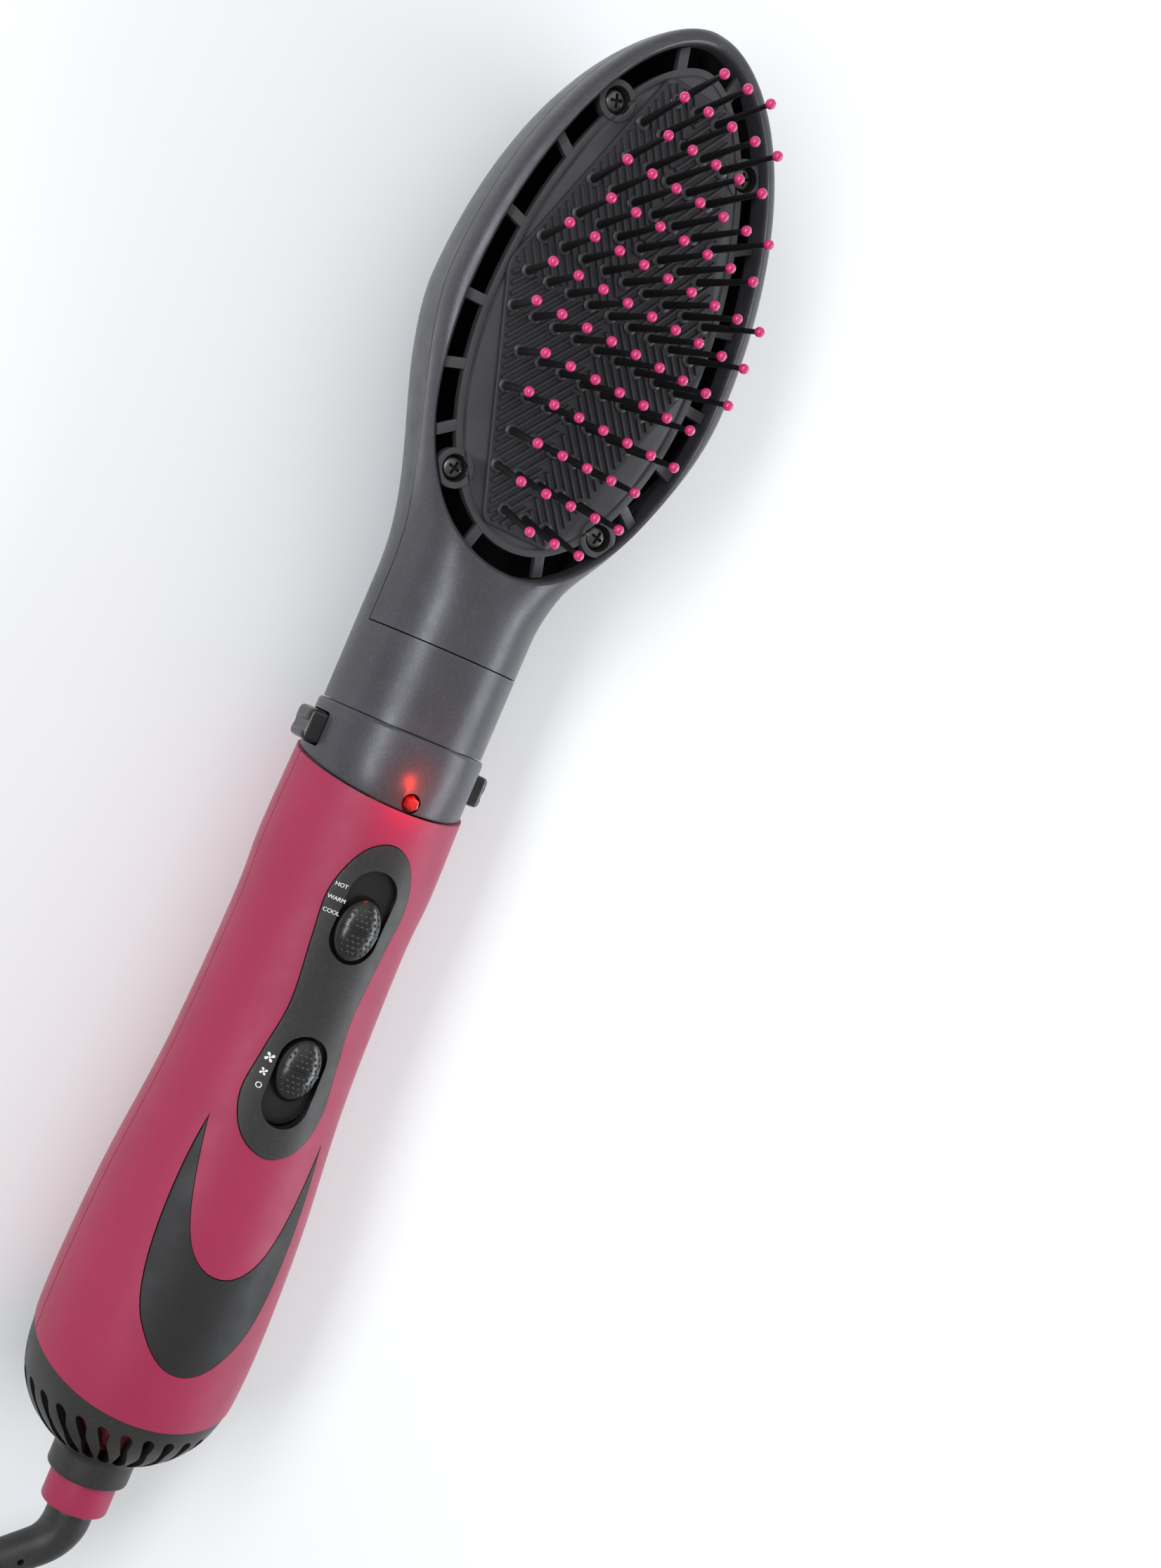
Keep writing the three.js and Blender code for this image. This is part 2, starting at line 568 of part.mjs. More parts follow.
function addShell() {
  const { front, rear } = handleShells();
  place('handle_front_shell', front, PINK);
  place('handle_rear_shell', rear, PINK);
  const inlayPrism = solid(pushed(polygon(insetOutline(inlayOutline(), GAP)), 5, 40));
  place('grip_inlay', gripLayer(-0.8, 0.1).intersect(inlayPrism), TRIM_GREY);
  place('switch_panel', switchPanel(), TRIM_GREY);
  place('collar_ring', collarRing(), TRIM_GREY);
  place('inlet_cap', inletCap(), TRIM_GREY);
  place('inlet_filter', inletFilter(), RED);
  place('heat_slider', slider(HEAT), BLACK);
  place('speed_slider', slider(SPEED), BLACK);
  for (const [side, name] of [[1, 'left'], [-1, 'right']]) {
    place(`release_button_${name}`, releaseButton(side), BLACK);
    place(`latch_spring_${name}`, latchSpring(side), STEEL);
  }
  const lens = turned([[0, 0], [0, 2], [4.6, 2], [6.2, 1.3], [6.6, 0]], 8).rotateY(-Math.PI / 2);
  place('indicator_lens', lens.translate(-14.6, 0, 15.4), RED);
  const lamp = turned([[0, 0], [0, 1.5], [2.4, 1.5], [3.4, 0.8], [3.6, 0]], 8).rotateY(-Math.PI / 2);
  place('indicator_lamp', lamp.translate(-14.6, 0, 11.5), RED);
  const screw = turned([[-18, 0], [-17, 1.3], [-1.6, 1.3], [-1.6, 2.8], [0, 2.8], [0, 0]], 12);
  place('handle_screw', screw.rotateY(Math.PI / 2).translate(HANDLE_SCREW_X, 0, -23.6), STEEL);
}

// ---------- inside the handle ----------
const HEATER_Z = -4;

/** One of the two mica boards, with half of its length slotted so that the other can cross it. */
function heaterBoard(isUpright) {
  const [x0, x1] = [-71, -17];
  const middle = (x0 + x1) / 2;
  const flat = solid(block([x0, -10.6, -0.4], [x1, 10.6, 0.4]));
  const [from, to] = isUpright ? [middle - GAP, x1 + 1] : [x0 - 1, middle + GAP];
  const slot = block([from, -0.7, -1], [to, 0.7, 1]);
  const board = geometryOf(flat.subtract(solid(slot)));
  return board.rotateX(isUpright ? Math.PI / 2 : 0).translate(0, 0, HEATER_Z);
}

function heaterCoil() {
  const turns = 6;
  const r = 11.4;
  const points = Array.from({ length: turns * 8 + 1 }, (_, i) => {
    const a = (i / 8) * Math.PI * 2;
    const x = mix(-66, -31, i / (turns * 8));
    return new THREE.Vector3(x, r * Math.cos(a), HEATER_Z + r * Math.sin(a));
  });
  return sweep(new THREE.CatmullRomCurve3(points), () => 0.35, turns * 8, 4);
}

/** The wire-safe outlet grille, with a tab on each side that seats a release button's spring. */
function outletGuard() {
  const [x0, x1] = [-15, -12.8];
  const rim = solid(tube(x0, x1, 17.7, 15.4, 24));
  const hub = solid(tube(x0, x1, 6, 4.6, 12));
  const bars = [0, 45, 90, 135].map((angle) => solid(
    block([x0, -16.5, -0.7], [x1, 16.5, 0.7]).rotateX(THREE.MathUtils.degToRad(angle)),
  ));
  const tabs = [1, -1].map((side) => {
    const seat = solid(block([x0, 12.2, -3.4], [-4.2, 13.6, 3.4]));
    const foot = solid(block([x0, 12.2, -3.4], [x1, 16.5, 3.4]));
    return solid(geometryOf(seat.add(foot)).rotateX(side > 0 ? 0 : Math.PI));
  });
  const lampNotch = solid(block([-17, -2.8, 10.8], [-11, 2.8, 20]));
  return rim.add(hub).add(join(bars)).add(join(tabs)).subtract(lampNotch);
}

function fanShroud() {
  const duct = solid(tube(-146.6, -126, 21.9, 20.7, 24));
  const cup = solid(turnedRing([[-134, 14.4], [-134, 15.6], [-128, 15.6], [-128, 14.4]], 24));
  const vanes = Array.from({ length: 7 }, (_, i) => solid(
    block([-133, 14.9, -0.5], [-127, 21.3, 0.5]).rotateX((i / 7) * Math.PI * 2),
  ));
  return duct.add(cup).add(join(vanes));
}

function fanRotor() {
  const hub = solid(turnedRing([[-146, 1.3], [-146, 5], [-143.5, 7], [-137, 7], [-137, 1.3]], 16));
  const blades = Array.from({ length: 7 }, (_, i) => solid(
    new THREE.BoxGeometry(9, 1, 14).rotateZ(0.7).translate(-141.2, 0, 12.8).rotateX((i / 7) * Math.PI * 2),
  ));
  const sweepRoom = solid(tube(-148, -136, 20, 4, 24));
  return hub.add(join(blades).intersect(sweepRoom));
}

function addBlowerAndHeater() {
  place('heater_board_level', heaterBoard(false), MICA);
  place('heater_board_upright', heaterBoard(true), MICA);
  place('heater_coil', heaterCoil(), STEEL);
  place('heater_tube', tube(-72, -15.6, 12.9, 12.3, 24).translate(0, 0, HEATER_Z), MICA);
  place('thermostat', block([-27, -9, HEATER_Z + 0.8], [-20, -3, HEATER_Z + 4]), STEEL);
  place('thermal_fuse', rod(-29, -20, 1.5, 10).translate(0, 6, HEATER_Z + 2.4), STEEL);
  place('outlet_guard', outletGuard(), TRIM_GREY);
  const can = [[-133, 1.6], [-133, 13.9], [-101, 13.9], [-99.5, 5], [-98, 5], [-98, 1.6]];
  place('motor_can', turnedRing(can, 24), STEEL);
  place('motor_shaft', rod(-146.5, -99, 1.2, 12), STEEL);
  place('fan_rotor', fanRotor(), BLACK);
  place('fan_shroud', fanShroud(), TRIM_GREY);
  place('rectifier_board', block([-94, -11, -8], [-76, 11, -6.4]), BOARD);
  place('heat_switch_body', block([-52, -6, 9.3], [-34, 6, 14.2]), BLACK);
  place('speed_switch_body', block([-91, -6, 9.3], [-73, 6, 14.2]), BLACK);
  place('cord_clamp', new THREE.BoxGeometry(3, 14, 6).translate(-158.4, 0, 10), TRIM_GREY);
}

// ---------- the swivel and the cord ----------
const ELBOW_TURN = THREE.MathUtils.degToRad(57);
const ELBOW_R = 10;
const ELBOW_DIR = new THREE.Vector3(-Math.cos(ELBOW_TURN), Math.sin(ELBOW_TURN), 0);

/** The elbow's centreline: a short straight, a bend towards the left, and a long straight. */
function elbowPath() {
  const start = SWIVEL_END_X - GAP;
  const path = new THREE.CurvePath();
  const bendX = start - 3;
  const points = [];
  for (let i = 0; i <= 8; i += 1) {
    const a = (ELBOW_TURN * i) / 8;
    points.push(new THREE.Vector3(bendX - ELBOW_R * Math.sin(a), ELBOW_R * (1 - Math.cos(a)), 0));
  }
  path.add(new THREE.LineCurve3(new THREE.Vector3(start, 0, 0), points[0]));
  points.slice(1).forEach((p, i) => path.add(new THREE.LineCurve3(points[i], p)));
  path.add(new THREE.LineCurve3(points[8], points[8].clone().addScaledVector(ELBOW_DIR, 24)));
  return path;
}

/** A ring of n points round a centre, flat or round in section, facing along -y. */
function plugRing(centre, halfWidth, halfHeight, power, n = 16) {
  return Array.from({ length: n }, (_, j) => {
    const a = (j / n) * Math.PI * 2;
    const across = Math.sign(Math.cos(a)) * Math.abs(Math.cos(a)) ** (2 / power);
    const up = Math.sign(Math.sin(a)) * Math.abs(Math.sin(a)) ** (2 / power);
    return new THREE.Vector3(centre.x + halfWidth * across, centre.y, centre.z + halfHeight * up);
  });
}

function addPlug(end) {
  const { width, height, length, relief, pinR, pinLength, pinPitch } = PLUG;
  const z = COIL.high + GAP + height / 2;
  const rise = (along) => mix(end.z, z, Math.min(1, along / relief));
  const at = (along) => new THREE.Vector3(end.x, end.y - 3 * GAP - along, rise(along));
  const r = CORD_D / 2;
  const body = loft([
    plugRing(at(0), r + 0.6, r + 0.2, 2),
    plugRing(at(relief * 0.6), r + 1.6, r + 1, 2),
    plugRing(at(relief), width * 0.34, height * 0.36, 2.6),
    plugRing(at(relief + 5), width / 2, height / 2, 4),
    plugRing(at(relief + length), width / 2, height / 2, 4),
  ]);
  place('plug_body', body, BLACK, model);
  for (const side of [1, -1]) {
    const pin = new THREE.CapsuleGeometry(pinR, pinLength - 2 * pinR, 3, 12);
    const y = end.y - relief - length - 4 * GAP - pinLength / 2;
    place(`plug_pin_${side > 0 ? 1 : 2}`, pin.translate(end.x + (side * pinPitch) / 2, y, z), STEEL, model);
  }
}

function addCord() {
  const swivel = [
    [SWIVEL_END_X, 4], [SWIVEL_END_X, SWIVEL_R - 0.5], [SWIVEL_END_X + 0.6, SWIVEL_R],
    [CAP_NECK_END_X - GAP, SWIVEL_R], [CAP_NECK_END_X - GAP, 6.4], [-177.7, 6.4],
    [-177.7, 8.2], [-176.3, 8.2], [-176.3, 4],
  ];
  place('swivel_ring', turnedRing(swivel, 24), PINK);
  const taper = (t) => mix(5.5, 4.1, smooth(0.1, 1, t));
  place('elbow_boot', sweep(elbowPath(), taper, 16, 12), TRIM_GREY);

  const lead = new THREE.CatmullRomCurve3(LEAD.map((p) => new THREE.Vector3(...p)));
  const section = new THREE.Shape().absarc(0, 0, CORD_D / 2, 0, Math.PI * 2);
  const cordOptions = (path, steps) => ({ extrudePath: path, steps, bevelEnabled: false, curveSegments: 4 });
  place('power_cord', new THREE.ExtrudeGeometry(section, cordOptions(lead, 8)), BLACK, model);

  const { x, y, inner, outer, low, high } = COIL;
  const ring = [
    [low + 3, inner], [low, inner + 3], [low, outer - 3], [low + 3, outer],
    [high - 3, outer], [high, outer - 3], [high, inner + 3], [high - 3, inner],
  ];
  place('cord_coil', turnedRing(ring, 28).rotateY(-Math.PI / 2).translate(x, y, 0), BLACK, model);

  const { fromAngle, toAngle, fromR, toR, z } = TAIL;
  const tailPoints = Array.from({ length: 13 }, (_, i) => {
    const a = THREE.MathUtils.degToRad(mix(fromAngle, toAngle, i / 12));
    const r = mix(fromR, toR, i / 12);
    return new THREE.Vector3(x + r * Math.cos(a), y + r * Math.sin(a), z);
  });
  const tail = new THREE.CatmullRomCurve3(tailPoints);
  place('cord_tail', new THREE.ExtrudeGeometry(section, cordOptions(tail, 14)), BLACK, model);
  addPlug(tailPoints[12]);

  const band = (grow) => block([inner - grow, -2.5, low - grow], [outer + grow, 2.5, high + grow]);
  const room = block([inner - GAP, -4, low - GAP], [outer + GAP, 4, high + GAP]);
  const tie = geometryOf(solid(band(0.75)).subtract(solid(room)));
  place('cord_tie', tie.rotateZ(-Math.PI / 2).translate(x, y, 0), BLACK, model);
}

addHead();
addShell();
addBlowerAndHeater();
addCord();

export default model;
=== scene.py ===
"""A hot air brush: paddle head with ball-tipped bristles on a round grip, and its cord tied in a coil.
Shapes are made in brush millimetres: x along the grip's axis from the collar's top edge, z out of the
bristle side. to_row() takes them into the frame."""
from math import asin, atan, copysign, cos, pi, radians, sin, sqrt

import bmesh
import bpy
from mathutils import Matrix, Vector


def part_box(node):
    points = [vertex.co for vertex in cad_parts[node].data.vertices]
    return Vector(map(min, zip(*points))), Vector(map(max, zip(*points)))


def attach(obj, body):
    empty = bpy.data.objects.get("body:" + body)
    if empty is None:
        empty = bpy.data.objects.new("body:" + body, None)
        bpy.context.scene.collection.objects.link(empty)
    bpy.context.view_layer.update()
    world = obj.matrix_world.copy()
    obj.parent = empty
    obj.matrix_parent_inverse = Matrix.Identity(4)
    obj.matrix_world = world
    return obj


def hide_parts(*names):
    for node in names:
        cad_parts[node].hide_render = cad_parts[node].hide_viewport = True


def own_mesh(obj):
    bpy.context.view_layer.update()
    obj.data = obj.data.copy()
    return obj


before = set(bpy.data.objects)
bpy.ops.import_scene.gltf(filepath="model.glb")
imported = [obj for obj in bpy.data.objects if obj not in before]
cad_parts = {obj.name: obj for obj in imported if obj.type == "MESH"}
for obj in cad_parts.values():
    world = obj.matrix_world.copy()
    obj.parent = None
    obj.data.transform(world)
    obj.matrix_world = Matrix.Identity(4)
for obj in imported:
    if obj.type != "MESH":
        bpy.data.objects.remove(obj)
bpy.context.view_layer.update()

# ---- where the brush sits in the frame ----
MM = 0.001
GAP = 0.3
_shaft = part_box("motor_shaft")
ORIGIN = Vector((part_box("collar_ring")[1].x + GAP * MM, 0, (_shaft[0].z + _shaft[1].z) / 2))


def to_row(x, y, z):
    return ORIGIN + Vector((x, y, z)) * MM


TO_ROW = Matrix.Translation(ORIGIN) @ Matrix.Scale(MM, 4)

# ---- sizes, in brush millimetres ----
WALL = 2.2
TIP_X, MID_X, FACE_X = 171.5, 95.0, 37.0
HEAD_HALF_WIDTH, HEAD_BACK, RIM_Z, NECK_R = 37.3, 25.6, 19.6, 19.6
NECK_COVER_X = 19.7
RIM_INSET, PLATE_INSET, PLATE_TOP, PLATE_THICK = 4.0, 9.0, 14.8, 2.2
PAD_TOP, PAD_HALF, PAD_END_HALF = 16.4, 27.5, 9.0
PAD_X = (49.5, 157.0)
ROWS, FIRST_X, PITCH, SPREAD, EDGE, BRISTLE, FAN = 13, 54.0, 8.2, 5.6, 1.2, 21.0, 13.0
HEAD_SCREWS = [(146, 18.2), (146, -18.2), (57.5, 19.6), (57.5, -19.6)]
COLLAR_R, COLLAR_SEAM, COLLAR_SLOPE = 20.4, -13.3, 0.17
BASE_SEAM, BASE_SLOPE, BASE_BACK_X = -157.3, 0.315, -154.5
GRIP = [(-8, 20.8), (-33, 21.35), (-50, 20.75), (-86, 21.75), (-117, 24.5), (-142, 25.55), (-158, 25.2),
        (-170, 23.6)]
HANDLE_SCREW_X = -150.2
NECK_END_X, CAP_NECK_R, SWIVEL_END_X, SWIVEL_R = -187.0, 9.75, -195.0, 8.0
BUTTON_X, BUTTON_HALF, BUTTON_TOP = (-10.9, -3.4), 4.5, 24.0
PANEL = [(-24.6, 0), (-28.2, 6.2), (-38, 9.7), (-50, 9), (-65, 7.9), (-77, 9.4), (-88, 10.5), (-96.3, 7.2)]
PANEL_END_X = -99.8
SLOT_HALF = 5.8
HEAT = {"slot": (-53.2, -31), "button": (-52.9, -37.5)}
SPEED = {"slot": (-92.6, -71), "button": (-86.7, -71.3)}
TRAY_Z = 18.9
DOME_Z, DOME_HEIGHT, DOME_HALF = 19.9, 3.6, 5.25
DOT_PITCH, DOT_R = 1.25, 0.36
PANEL_PROUD, INLAY_PROUD, INLAY_GAP = 0.25, 0.1, 0.22
LAMP_X, LAMP_HOLE_R = -14.6, 2.3
BUTTON_SLACK, FLAT_SLACK = 0.35, 0.01
AXIS_R = 0.001                    # stands for a radius of nothing

# ---- sizes, in row millimetres: the cord ----
CORD_D, CORD_LENGTH = 6.5, 1.8
LEAD = [(-207.98, 24.68, 25.3), (-213.3, 32.9, 25.3), (-218.8, 41, 25.2), (-225.6, 49.3, 24),
        (-233.8, 56.6, 20.4), (-243, 62, 14.8), (-252.6, 65.6, 9), (-262.5, 67.3, 5.1), (-273.1, 67.3, 4.1)]
COIL_X, COIL_Y, COIL_TOP = -268.8, 18.05, 14.0
COIL_LAYERS = [(95, 49.4, 4.1), (1355, 26.3, 4.1), (1415, 26.3, 10.7), (2471, 46.8, 10.7), (2512, 46.6, 17.6),
               (2692, 38, 17.6)]
PLUG = {"width": 34, "height": 16, "length": 27, "relief": 14, "pin_r": 2.4, "pin_length": 19, "pitch": 19}


# ---- small tools ----
def smooth(a, b, v):
    t = min(1.0, max(0.0, (v - a) / (b - a)))
    return t * t * (3 - 2 * t)


def mix(a, b, t):
    return a + (b - a) * t


def spread(a, b, n):
    return [mix(a, b, i / (n - 1)) for i in range(n)]


def signed_power(v, p):
    return copysign(abs(v) ** p, v)


def angles(n, start=0.0):
    return [2 * pi * i / n + start for i in range(n)]


def turned(degrees, axis):
    return Matrix.Rotation(radians(degrees), 4, axis)


def linked(name, data):
    obj = bpy.data.objects.new(name, data)
    bpy.context.scene.collection.objects.link(obj)
    return obj


def repaint(mesh, material):
    mesh.materials.clear()
    mesh.materials.append(material)


def lowest(node):
    """The CAD node's lowest height, from the brush's axis."""
    return (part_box(node)[0].z - ORIGIN.z) / MM + FLAT_SLACK


def spline(points, steps):
    """A smooth line through the points."""
    out = []
    pts = [Vector(p) for p in points]
    for i in range(len(pts) - 1):
        p0, p1, p2, p3 = pts[max(i - 1, 0)], pts[i], pts[i + 1], pts[min(i + 2, len(pts) - 1)]
        for k in range(steps):
            t = k / steps
            a, b = (p2 - p0) * 0.5, (p3 - p1) * 0.5
            cubic, square = 2 * p1 - 2 * p2 + a + b, 3 * p2 - 3 * p1 - 2 * a - b
            out.append(cubic * t ** 3 + square * t ** 2 + a * t + p1)
    return out + [pts[-1]]


def rounded(points, radius, steps=4, closed=True):
    """A 2-D outline with its corners turned into small arcs."""
    out, n = [], len(points)
    for i, p in enumerate(points):
        if not closed and i in (0, n - 1):
            out.append(tuple(p))
            continue
        p = Vector(p)
        a, b = Vector(points[i - 1]) - p, Vector(points[(i + 1) % n]) - p
        r = min(radius, a.length * 0.45, b.length * 0.45)
        start, end = p + a.normalized() * r, p + b.normalized() * r
        for k in range(steps + 1):
            t = k / steps
            out.append(tuple(start * (1 - t) ** 2 + p * 2 * t * (1 - t) + end * t * t))
    return out


def solid(verts, faces, material=None):
    mesh = bpy.data.meshes.new("work")
    mesh.from_pydata([tuple(v) for v in verts], [], faces)
    mesh.validate()
    if material:
        mesh.materials.append(material)
    return linked("work", mesh)


def grid_faces(rows, cols, start=0, wrap_rows=False, wrap_cols=True):
    faces = []
    for i in range(rows if wrap_rows else rows - 1):
        for j in range(cols if wrap_cols else cols - 1):
            a, b = start + i * cols + j, start + i * cols + (j + 1) % cols
            i2 = start + ((i + 1) % rows) * cols
            faces.append((a, b, i2 + (j + 1) % cols, i2 + j))
    return faces


def loft(rings, material=None):
    """A closed skin over rings of equal counts, with a fan at each end."""
    n = len(rings[0])
    verts = [Vector(v) for ring in rings for v in ring]
    faces = grid_faces(len(rings), n)
    for first, flip in ((0, True), ((len(rings) - 1) * n, False)):
        verts.append(sum(verts[first:first + n], Vector()) / n)
        c = len(verts) - 1
        for j in range(n):
            a, b = first + j, first + (j + 1) % n
            faces.append((c, b, a) if flip else (c, a, b))
    return outward(solid(verts, faces, material))


def outward(obj):
    """Turns every face outwards."""
    bm = bmesh.new()
    bm.from_mesh(obj.data)
    bmesh.ops.remove_doubles(bm, verts=bm.verts, dist=1e-5)
    bmesh.ops.recalc_face_normals(bm, faces=bm.faces)
    if bm.calc_volume(signed=True) < 0:
        bmesh.ops.reverse_faces(bm, faces=bm.faces)
    bm.to_mesh(obj.data)
    bm.free()
    return obj


def lathe(outline, count=96, material=None):
    """A closed outline of (x, radius) turned about the x axis."""
    verts = []
    for x, r in outline:
        verts += [(x, r * sin(a), r * cos(a)) for a in angles(count)]
    return outward(solid(verts, grid_faces(len(outline), count, wrap_rows=True), material))


def prism(outline, z0, z1, material=None):
    n = len(outline)
    verts = [(x, y, z) for z in (z0, z1) for x, y in outline]
    faces = [tuple(range(n)), tuple(range(n, 2 * n))] + grid_faces(2, n)
    return outward(solid(verts, faces, material))


def block(low, high, material=None):
    outline = [(low[0], low[1]), (high[0], low[1]), (high[0], high[1]), (low[0], high[1])]
    return prism(outline, low[2], high[2], material)


def disc(x, y, r, n=32):
    return [(x + r * cos(a), y + r * sin(a)) for a in angles(n)]


def moved(obj, matrix):
    obj.data.transform(matrix)
    return outward(obj)


def settle(obj):
    """Applies the object's modifiers to its mesh."""
    graph = bpy.context.evaluated_depsgraph_get()
    mesh = bpy.data.meshes.new_from_object(obj.evaluated_get(graph))
    obj.modifiers.clear()
    obj.data = mesh
    return obj


def boolean(obj, tool, operation):
    mod = obj.modifiers.new("work", "BOOLEAN")
    mod.operation, mod.object, mod.solver, mod.material_mode = operation, tool, "EXACT", "TRANSFER"
    settle(obj)
    bpy.data.objects.remove(tool)
    return obj


def cut(obj, *tools):
    for tool in tools:
        boolean(obj, tool, "DIFFERENCE")
    return obj


def add(obj, *tools):
    for tool in tools:
        boolean(obj, tool, "UNION")
    return obj


def keep(obj, tool):
    return boolean(obj, tool, "INTERSECT")


def joined(objects):
    """Several meshes as one, without cutting them into each other."""
    verts, faces, mats, slots = [], [], [], []
    for o in objects:
        start = len(verts)
        verts += [v.co.copy() for v in o.data.vertices]
        for p in o.data.polygons:
            faces.append([start + i for i in p.vertices])
            m = o.data.materials[p.material_index] if o.data.materials else None
            if m not in mats:
                mats.append(m)
            slots.append(mats.index(m))
        bpy.data.objects.remove(o)
    out = solid(verts, faces)
    for m in mats:
        out.data.materials.append(m)
    out.data.polygons.foreach_set("material_index", slots)
    return out


def bevel(obj, width, segments=2, angle=35):
    mod = obj.modifiers.new("work", "BEVEL")
    mod.width, mod.segments, mod.limit_method, mod.angle_limit = width, segments, "ANGLE", radians(angle)
    mod.use_clamp_overlap = True
    return settle(obj)


def piece(obj, name, body, nodes=(), angle=32, in_row=False):
    """Names a finished shape, puts it in the frame, ties it to its body and hides the CAD nodes it replaces.
    """
    obj.name = obj.data.name = name
    if not in_row:
        obj.data.transform(TO_ROW)
    obj.data.shade_smooth()
    obj.data.set_sharp_from_angle(angle=radians(angle))
    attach(obj, body)
    if nodes:
        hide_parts(*nodes)
    return obj


# ---- materials ----
def srgb(r, g, b):
    def linear(c):
        c /= 255
        return c / 12.92 if c <= 0.04045 else ((c + 0.055) / 1.055) ** 2.4
    return (linear(r), linear(g), linear(b), 1.0)


def shaded(colour, factor):
    return tuple(min(1.0, c * factor) for c in colour[:3]) + (1.0,)


def surface(name, colour, rough, vary=0.08, patch=60, speck=0.0, grain=2500, bump=0.15, depth=0.05,
            rough_vary=0.05, wear=0.0, **sockets):
    """A moulded surface: slow patches and specks in its colour, uneven gloss, and a fine grain in relief."""
    mat = bpy.data.materials.new(name)
    mat.use_nodes = True
    tree = mat.node_tree
    shader = tree.nodes["Principled BSDF"]
    place = tree.nodes.new("ShaderNodeTexCoord")

    def noise(scale, detail=3.0):
        node = tree.nodes.new("ShaderNodeTexNoise")
        node.inputs["Scale"].default_value = scale
        node.inputs["Detail"].default_value = detail
        tree.links.new(place.outputs["Object"], node.inputs["Vector"])
        return node.outputs["Fac"]

    def ranged(source, low, high, from_low=0.3, from_high=0.7):
        node = tree.nodes.new("ShaderNodeMapRange")
        limits = {"From Min": from_low, "From Max": from_high, "To Min": low, "To Max": high}
        for key, value in limits.items():
            node.inputs[key].default_value = value
        tree.links.new(source, node.inputs["Value"])
        return node.outputs["Result"]

    def blended(a, b, factor):
        node = tree.nodes.new("ShaderNodeMix")
        node.data_type = "RGBA"
        for key, value in ((6, a), (7, b)):
            if isinstance(value, tuple):
                node.inputs[key].default_value = value
            else:
                tree.links.new(value, node.inputs[key])
        tree.links.new(factor, node.inputs[0])
        return node.outputs[2]

    tone = blended(shaded(colour, 1 - vary), shaded(colour, 1 + vary), ranged(noise(patch), 0, 1))
    if speck:
        specks = ranged(noise(grain * 0.6, 1), 0, speck, 0.5, 0.75)
        tone = blended(tone, shaded(colour, 1 + speck * 4), specks)
    if wear:
        geometry = tree.nodes.new("ShaderNodeNewGeometry")
        tone = blended(tone, shaded(colour, 1.5), ranged(geometry.outputs["Pointiness"], 0, wear, 0.52, 0.6))
    tree.links.new(tone, shader.inputs["Base Color"])
    gloss = ranged(noise(patch * 3), rough - rough_vary, rough + rough_vary)
    tree.links.new(gloss, shader.inputs["Roughness"])
    relief = tree.nodes.new("ShaderNodeBump")
    relief.inputs["Strength"].default_value = bump
    relief.inputs["Distance"].default_value = depth * MM
    tree.links.new(noise(grain), relief.inputs["Height"])
    tree.links.new(relief.outputs["Normal"], shader.inputs["Normal"])
    for key, value in sockets.items():
        shader.inputs[key.replace("_", " ")].default_value = value
    return mat


def woven(name, colour, pitch):
    """A mesh cloth: two crossed sets of threads round and along the cap, with a painted highlight on their
    crowns and painted shade between them.
    """
    mat = surface(name, colour, 0.7, vary=0.15)
    tree = mat.node_tree
    shader = tree.nodes["Principled BSDF"]
    place = tree.nodes.new("ShaderNodeTexCoord")
    crowns = []
    for direction in ("X", "Y", "Z"):
        wave = tree.nodes.new("ShaderNodeTexWave")
        wave.bands_direction = direction
        wave.inputs["Scale"].default_value = 0.314 / (pitch * MM)
        tree.links.new(place.outputs["Object"], wave.inputs["Vector"])
        crowns.append(wave.outputs["Fac"])
    total = crowns[0]
    for other in crowns[1:]:
        node = tree.nodes.new("ShaderNodeMath")
        node.operation = "MAXIMUM"
        tree.links.new(total, node.inputs[0])
        tree.links.new(other, node.inputs[1])
        total = node.outputs[0]
    # painted shade between the threads (a quarter of the colour) and a painted highlight on their crowns
    # (half again brighter)
    tone = tree.nodes.new("ShaderNodeMix")
    tone.data_type = "RGBA"
    tone.inputs[6].default_value = shaded(colour, 0.25)
    tone.inputs[7].default_value = shaded(colour, 1.5)
    tree.links.new(total, tone.inputs[0])
    tree.links.new(tone.outputs[2], shader.inputs["Base Color"])
    relief = [n for n in tree.nodes if n.bl_idname == "ShaderNodeBump"][0]
    tree.links.new(total, relief.inputs["Height"])
    relief.inputs["Distance"].default_value = 0.2 * MM
    relief.inputs["Strength"].default_value = 0.6
    return mat


HEAD = surface("head plastic", srgb(72, 71, 76), 0.36, speck=0.25, grain=2600, bump=0.35, depth=0.06,
               wear=0.3, Metallic=0.3)
TRIM = surface("dark plastic", srgb(41, 39, 38), 0.46, speck=0.35, grain=2600, bump=0.35, depth=0.06,
               wear=0.25)
PLATE = surface("plate plastic", srgb(60, 59, 62), 0.5, speck=0.15, grain=3000, bump=0.3, wear=0.3)
# near-black painted shade: laid on the shells' inner faces and on the walls of cut holes, slots, windows and
# recesses, where only shade falls
PAINTED_SHADE = surface("inside painted shade", srgb(14, 13, 13), 0.7)
PINK = surface("soft pink", srgb(160, 29, 73), 0.55, vary=0.04, speck=0.04, grain=3200, bump=0.25, depth=0.04,
               Sheen_Weight=0.12, Sheen_Roughness=0.5)
INLAY = surface("inlay plastic", srgb(26, 24, 25), 0.55, speck=0.3, grain=2800, bump=0.35)
GLOSS = surface("gloss black", srgb(15, 14, 14), 0.3, bump=0.05, grain=1500, rough_vary=0.05,
                Coat_Weight=0.25, Coat_Roughness=0.25)
PAD = surface("pad rubber", srgb(48, 47, 50), 0.42, vary=0.12, speck=0.1, grain=2200, bump=0.4)
PIN = surface("bristle nylon", srgb(20, 19, 20), 0.38, bump=0.1)
TIP = surface("bristle tips", srgb(205, 42, 112), 0.22, vary=0.06, patch=300, bump=0.05, Coat_Weight=0.4,
              Coat_Roughness=0.08)
